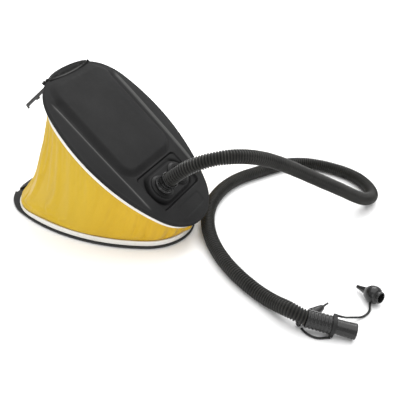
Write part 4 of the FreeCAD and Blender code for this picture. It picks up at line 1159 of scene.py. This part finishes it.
# ---------------------------------------------------------------- plug and port collars
def build_plug():
    """Hose plug in the -y port, with 16 grip flutes. Heights are above the boss."""
    corners = [
        (10.5, 3.32), (13.3, 3.32), (13.3, 5.3), (12.2, 6.4), (11.7, 7.6), (11.9, 9.5),
        (11.5, 10.0), (11.5, 10.8), (11.9, 11.3), (11.9, 13.2), (11.5, 13.7), (11.5, 14.4),
        (11.9, 14.9), (11.7, 16.5), (12.45, 17.3), (12.45, 19.4), (12.0, 20.1), (11.0, 20.1),
        (10.4, 14.0), (10.4, 9.6), (7.6, 9.6),
    ]
    foot = [(7.6, -1.2), (9.9, -1.2), (10.5, 0.6)]      # heights above the rim plane
    profile = rounded(foot + [(r, BOSS_TOP + h) for r, h in corners], 0.45)

    def flutes(a, r, h):
        if BOSS_TOP + 7.7 < h < BOSS_TOP + 16.4 and r > 11.0:
            return r - 0.5 * (0.5 + 0.5 * math.cos(16 * a)) ** 3
        return r

    ob = revolve("plug_body", profile, HOSE_PORT, LID_N, LID_Y, 96, flutes)
    dress(ob, FITTING_MAT, "plug", "hose_plug")


def build_collars():
    """A collar round each port, its flange notched into eight finger lobes."""
    profile = rounded([
        (10.65, -4.0), (10.65, BOSS_TOP + 2.4), (11.5, BOSS_TOP + 3.1), (14.4, BOSS_TOP + 3.1),
        (17.4, BOSS_TOP + 1.7), (17.55, BOSS_TOP + 0.65), (12.9, BOSS_TOP + 0.65),
        (12.9, -11.5), (11.0, -11.5), (11.0, -4.0)], 0.35)

    def lobes(a, r, h):
        return r - 0.5 * (0.5 + 0.5 * math.cos(8 * a)) ** 6 if r > 14.0 else r

    for label, side in (("near", -1), ("far", 1)):
        origin = on_lid(PORT_X, PORT_Y * side, RIM)
        ob = revolve("collar_" + label, profile, origin, LID_N, LID_Y, 96, lobes)
        dress(ob, PORT_MAT, "treadle")


build_plug()
build_collars()

# ---------------------------------------------------------------- cuff and nozzle
CUFF_RIBS, CUFF_RIB_START, CUFF_RIB_PITCH = 7, -60.6, 4.4
# One cuff rib: radius, height from its start
CUFF_RIB = [(10.85, 0.0), (11.45, 0.5), (11.62, 1.1), (11.6, 1.9),
            (11.35, 2.5), (10.85, 3.0), (10.8, 3.8)]


def build_cuff():
    """Ribbed cuff over the hose's end. Heights are from the nozzle's tip."""
    profile = [(10.75, -60.8), (11.1, -61.0)]
    for k in range(CUFF_RIBS):
        start = CUFF_RIB_START + CUFF_RIB_PITCH * k
        profile += [(r, start + h) for r, h in CUFF_RIB]
    profile += [(11.3, -31.6), (11.1, -30.8), (9.35, -30.6), (9.35, -36.3), (10.75, -36.4)]

    def knurl(a, r, h):
        if r > 11.0:
            return r - 0.16 * (0.5 + 0.5 * math.cos(26 * a)) - 0.05 * math.cos(2 * a)
        return r

    ob = revolve("cuff_body", profile, END_TIP, END_AXIS, TAB_DIR, 104, knurl)
    dress(ob, FITTING_MAT, "base", "hose_cuff")


def build_nozzle():
    profile = rounded([
        (7.4, -36.0), (9.2, -36.0), (9.2, -24.0), (9.45, -14.0), (9.85, -4.0), (10.05, -1.4),
        (9.95, -0.1), (8.9, -0.05), (8.1, -1.8), (7.4, -9.0)], 0.4)

    def uneven(a, r, h):
        return r + (0.05 * math.cos(3 * a) if r > 9 else 0)

    ob = revolve("nozzle_body", profile, END_TIP, END_AXIS, TAB_DIR, 96, uneven)
    dress(ob, FITTING_MAT, "base", "nozzle_tube")


build_cuff()
build_nozzle()

# ---------------------------------------------------------------- tethers and their ring
CORD_RADIUS, CORD_FLATNESS, CORD_END_SWELL = 1.44, 0.82, 0.15
CORD_ROWS, CORD_SIDES = 90, 20
RING_CENTRE = END_TIP - END_AXIS * 27.7
LONG_START = RING_CENTRE + TAB_DIR * 12.8 + END_AXIS * 3.4

LONG_CORD = [
    tuple(LONG_START - END_AXIS * 1.6), tuple(LONG_START + END_AXIS * 1.4),
    tuple(LONG_START + END_AXIS * 3.0),
    (385.0, -71.5, 20.0), (387.2, -66.0, 15.8), (389.3, -60.0, 11.8), (392.4, -53.6, 8.2),
    (397.0, -46.5, 4.8), (402.2, -40.2, 2.6), (406.4, -33.0, 2.0), (408.6, -25.5, 2.0),
    (408.5, -18.5, 2.2), (407.2, -14.2, 2.9), (406.1, -9.9, 4.6),
]
SHORT_CORD = [
    tuple(RING_CENTRE - TAB_DIR * 14.5),
    (374.6, -97.0, 2.0), (369.6, -100.6, 1.9), (365.0, -102.9, 1.9), (360.0, -103.6, 1.9),
    (355.0, -103.2, 1.9), (350.0, -101.8, 2.1), (346.4, -100.3, 2.7), (343.6, -99.0, 3.5),
]


def build_cord(name, knots, body, replaces):
    """A flat-sided moulded cord, swelling slightly at its ends."""
    centre, run = spline(np.array(knots, float), CORD_ROWS)
    tangent = unit_rows(np.gradient(centre, axis=0))
    points = []
    for i in range(len(centre)):
        side = np.cross(tangent[i], np.array([0, 0, 1.0]))
        side /= np.linalg.norm(side)
        up = np.cross(side, tangent[i])
        from_end = min(run[i], run[-1] - run[i])
        r = CORD_RADIUS + CORD_END_SWELL * bell(from_end / 2.0)
        for k in range(CORD_SIDES):
            a = TURN * k / CORD_SIDES
            # a power below 1 squares the section
            c, s = (math.copysign(abs(v) ** 0.8, v) for v in (math.cos(a), math.sin(a)))
            points.append(centre[i] + side * c * r + up * s * r * CORD_FLATNESS)
    ob = make(name, points, rod_faces(CORD_SIDES, len(centre)))
    smooth_by_angle(ob, 60)
    dress(ob, RUBBER_MAT, body, replaces)


def build_ring():
    """Tether ring round the nozzle, with two pointed tabs."""
    profile = rounded([(9.32, -30.2), (11.5, -30.2), (11.75, -29.2), (11.75, -26.2),
                       (11.5, -25.2), (9.32, -25.2)], 0.5)

    def tabs(a, r, h):
        if r < 9.5:
            return r
        return r + 2.7 * bell(math.sin(a) / 0.16) * (1 if r > 10.8 else 0.3)

    ob = revolve("ring_body", profile, END_TIP, END_AXIS, TAB_DIR, 180, tabs)
    dress(ob, RUBBER_MAT, "base", "tether_ring")


build_cord("strap_long", LONG_CORD, "bell_end", "long_tether")
build_cord("strap_short", SHORT_CORD, "pin_end", "short_tether")
build_ring()


# ---------------------------------------------------------------- adaptors
def bell_profile(length):
    return [
        (6.3, 0.05), (7.4, 0.05), (7.9, 0.6), (7.95, 2.8), (7.5, 3.6), (7.8, 4.0), (9.3, 4.9),
        (10.5, 6.4), (11.3, 8.2), (11.75, 10.4), (11.75, 12.4), (11.3, 15.2), (10.4, 17.6),
        (9.2, 19.7), (7.9, 21.6), (6.6, 23.0), (5.6, 23.9), (5.0, 24.2), (4.9, 25.0),
        (4.3, 27.0), (2.5, length - 2.4), (2.45, length - 0.5), (2.0, length - 0.1),
        (1.1, length - 0.1), (1.1, 24.0), (2.6, 21.0), (6.3, 14.0)]


def pin_profile(length):
    return [
        (1.0, 0.05), (3.0, 0.05), (3.4, 0.6), (3.4, 2.3), (2.4, 3.3), (2.4, 9.0), (2.2, 9.4),
        (2.2, 10.4), (2.4, 10.8), (2.4, 18.0), (3.4, 20.5), (7.2, 25.4), (7.55, 26.0),
        (7.6, 27.9), (7.1, 28.9), (5.2, 36.8), (3.6, 42.6), (3.3, 43.4), (2.8, 44.2),
        (1.6, 45.4), (1.4, 47.0), (1.3, length - 0.2), (0.6, length - 0.1), (0.6, 45.0),
        (1.0, 43.0)]


def build_adaptor(name, rear, front, profile_for, body, replaces):
    """A turned adaptor whose axis runs from rear to front."""
    rear, front = np.array(rear), np.array(front)
    length = np.linalg.norm(front - rear)
    profile = rounded(profile_for(length), 0.35)
    ob = revolve(name, profile, rear, (front - rear) / length, (0, 0, 1.0), 72)
    dress(ob, FITTING_MAT, body, replaces)


build_adaptor("bell_body", (417.1, -6.0, 14.7), (383.1, 11.8, 5.9), bell_profile,
              "bell_end", "bell_adaptor")
build_adaptor("pin_body", (337.5, -95.6, 3.5), (360.1, -47.7, 12.0), pin_profile,
              "pin_end", "pin_adaptor")


# ---------------------------------------------------------------- base plate
def build_base():
    """The CAD base with wider notches, its free end set back between them (metres)."""
    ob = cad_copy("base_plate", "base_shell")
    notch_y = NOTCH_Y / 1000
    for v in ob.data.vertices:
        from_notch = abs(v.co.y) - notch_y
        if v.co.x < -0.1308 and abs(from_notch) < 0.0019:
            v.co.y += math.copysign(0.0010, from_notch) * math.copysign(1, v.co.y)
        if v.co.x < -0.1315 and abs(v.co.y) <= 0.0443:
            v.co.x += 0.0042
        # lower the tall parts towards the free end
        if v.co.z > 0.0125 and v.co.x < -0.060:
            v.co.z = 0.0083
    dress(ob, BASE_MAT, "base", "base_plate")
    soften_edges(ob, 0.45)


build_base()

# ---------------------------------------------------------------- return spring
SPRING_FOOT = np.array([-5.0, 0, 5.85])
SPRING_HEAD = on_lid(-5.0, 0.0, 39.15)
COIL_RADIUS, WIRE_RADIUS, COIL_TURNS = 15.0, 1.2, 8
STEPS_PER_TURN, WIRE_SIDES = 40, 12
END_SHARE = 0.11                            # share of the wire wound closely at each end
END_RISE = 0.02475                          # share of the height each close end takes up


def build_spring():
    """A coil along a curve that leaves the base upright and meets the treadle squarely."""
    reach = np.linalg.norm(SPRING_HEAD - SPRING_FOOT) * 0.36
    p0, p3 = SPRING_FOOT, SPRING_HEAD
    p1, p2 = p0 + np.array([0, 0, reach]), p3 - LID_N * reach
    rows = COIL_TURNS * STEPS_PER_TURN + 1
    wound = np.linspace(0, 1, rows)
    t = np.interp(wound, [0, END_SHARE, 1 - END_SHARE, 1], [0, END_RISE, 1 - END_RISE, 1])
    t = t[:, None]
    u = 1 - t
    middle = p0 * u ** 3 + p1 * (3 * u * u * t) + p2 * (3 * u * t * t) + p3 * t ** 3
    axis = unit_rows((p1 - p0) * (3 * u * u) + (p2 - p1) * (6 * u * t) + (p3 - p2) * (3 * t * t))
    side = np.tile(LID_Y, (rows, 1))
    angle = (2 * np.pi * COIL_TURNS * wound)[:, None]
    radial = side * np.cos(angle) + np.cross(side, axis) * np.sin(angle)
    wire = middle + COIL_RADIUS * radial
    tangent = unit_rows(np.gradient(wire, axis=0))
    wire_b = unit_rows(np.cross(tangent, radial))
    wire_a = np.cross(wire_b, tangent)
    round_wire = np.linspace(0, 2 * np.pi, WIRE_SIDES, endpoint=False)[None, :, None]
    points = wire[:, None] + WIRE_RADIUS * (np.cos(round_wire) * wire_a[:, None]
                                            + np.sin(round_wire) * wire_b[:, None])
    ob = make("spring_coil", points.reshape(-1, 3), rod_faces(WIRE_SIDES, rows))
    # it closes up by its angle about the hinge as the treadle comes down
    swing = np.arctan2(middle[:, 2] - HINGE_Z, HINGE_X - middle[:, 0])
    weights = np.clip((swing - swing[0]) / (swing[-1] - swing[0]), 0, 1)
    dress_blended(ob, SPRING_MAT, "return_spring", ("base", "treadle"),
                  tuple(SPRING_FOOT / 1000), tuple(SPRING_HEAD / 1000),
                  np.repeat(weights, WIRE_SIDES))


build_spring()

# ---------------------------------------------------------------- CAD parts still shown
# CAD piece: material, edge rounding
FINISHES = {
    "hinge_pin": (STEEL_MAT, 0.2),
    "pin_washer": (STEEL_MAT, 0.1),
    "rubber_feet": (RUBBER_MAT, 0.5),
    "inflate_port_sleeve": (PORT_MAT, 0),
    "deflate_port_sleeve": (PORT_MAT, 0),
    "inflate_port_gasket": (RUBBER_MAT, 0),
    "deflate_port_gasket": (RUBBER_MAT, 0),
    "outlet_flap": (RUBBER_MAT, 0),
    "inlet_flap": (RUBBER_MAT, 0),
    "outlet_flap_stud": (PORT_MAT, 0),
    "inlet_flap_stud": (PORT_MAT, 0),
    "near_latch": (FITTING_MAT, 0.35),
    "far_latch": (FITTING_MAT, 0.35),
}
for node_name, (mat, rounding) in FINISHES.items():
    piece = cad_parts[node_name]
    set_material(piece, mat)
    if rounding:
        soften_edges(piece, rounding)


# ---------------------------------------------------------------- floor, light, camera (metres)
def build_floor(half=6):
    me = bpy.data.meshes.new("floor")
    corners = [(-half, -half, 0), (half, -half, 0), (half, half, 0), (-half, half, 0)]
    me.from_pydata(corners, [], [(0, 1, 2, 3)])
    ob = link(bpy.data.objects.new("floor", me))
    me.materials.append(pale_floor())


def light_world(strength):
    world = bpy.data.worlds.new("studio")
    bpy.context.scene.world = world
    world.use_nodes = True
    background = world.node_tree.nodes["Background"]
    background.inputs[0].default_value = (1, 1, 1, 1)
    background.inputs[1].default_value = strength


def add_area_light(name, *, place, target, size, power):
    light = bpy.data.lights.new(name, "AREA")
    light.shape = "RECTANGLE"
    light.size, light.size_y = size
    light.energy = power
    ob = link(bpy.data.objects.new(name, light))
    ob.location = place
    ob.rotation_mode = "QUATERNION"
    ob.rotation_quaternion = (Vector(target) - Vector(place)).to_track_quat("-Z", "Y")


def add_camera():
    camera = bpy.data.cameras.new("camera")
    ob = link(bpy.data.objects.new("camera", camera))
    camera.sensor_fit = "HORIZONTAL"
    camera.sensor_width = 36.0
    camera.lens = 56.385
    camera.clip_start, camera.clip_end = 0.01, 50
    rotation = Matrix(((0.89080472, -0.30249758, 0.3390607),
                       (0.44789231, 0.45885227, -0.76736372),
                       (0.07654689, 0.8354339, 0.54423411)))
    ob.matrix_world = Matrix.Translation((0.4443, -0.6623, 0.5344)) @ rotation.to_4x4()
    bpy.context.scene.camera = ob


build_floor()
light_world(strength=0.62)
add_area_light("top", place=(0.15, 0.35, 1.9), target=(0.12, 0.05, 0.0),
               size=(3.2, 3.2), power=62)
add_area_light("key", place=(0.0, 1.15, 1.1), target=(0.05, 0, 0.10),
               size=(0.9, 0.6), power=10)
add_area_light("fill", place=(0.5, -1.6, 0.7), target=(0.0, 0, 0.06),
               size=(0.5, 0.7), power=6)
add_camera()
bpy.context.scene.view_settings.view_transform = "Standard"
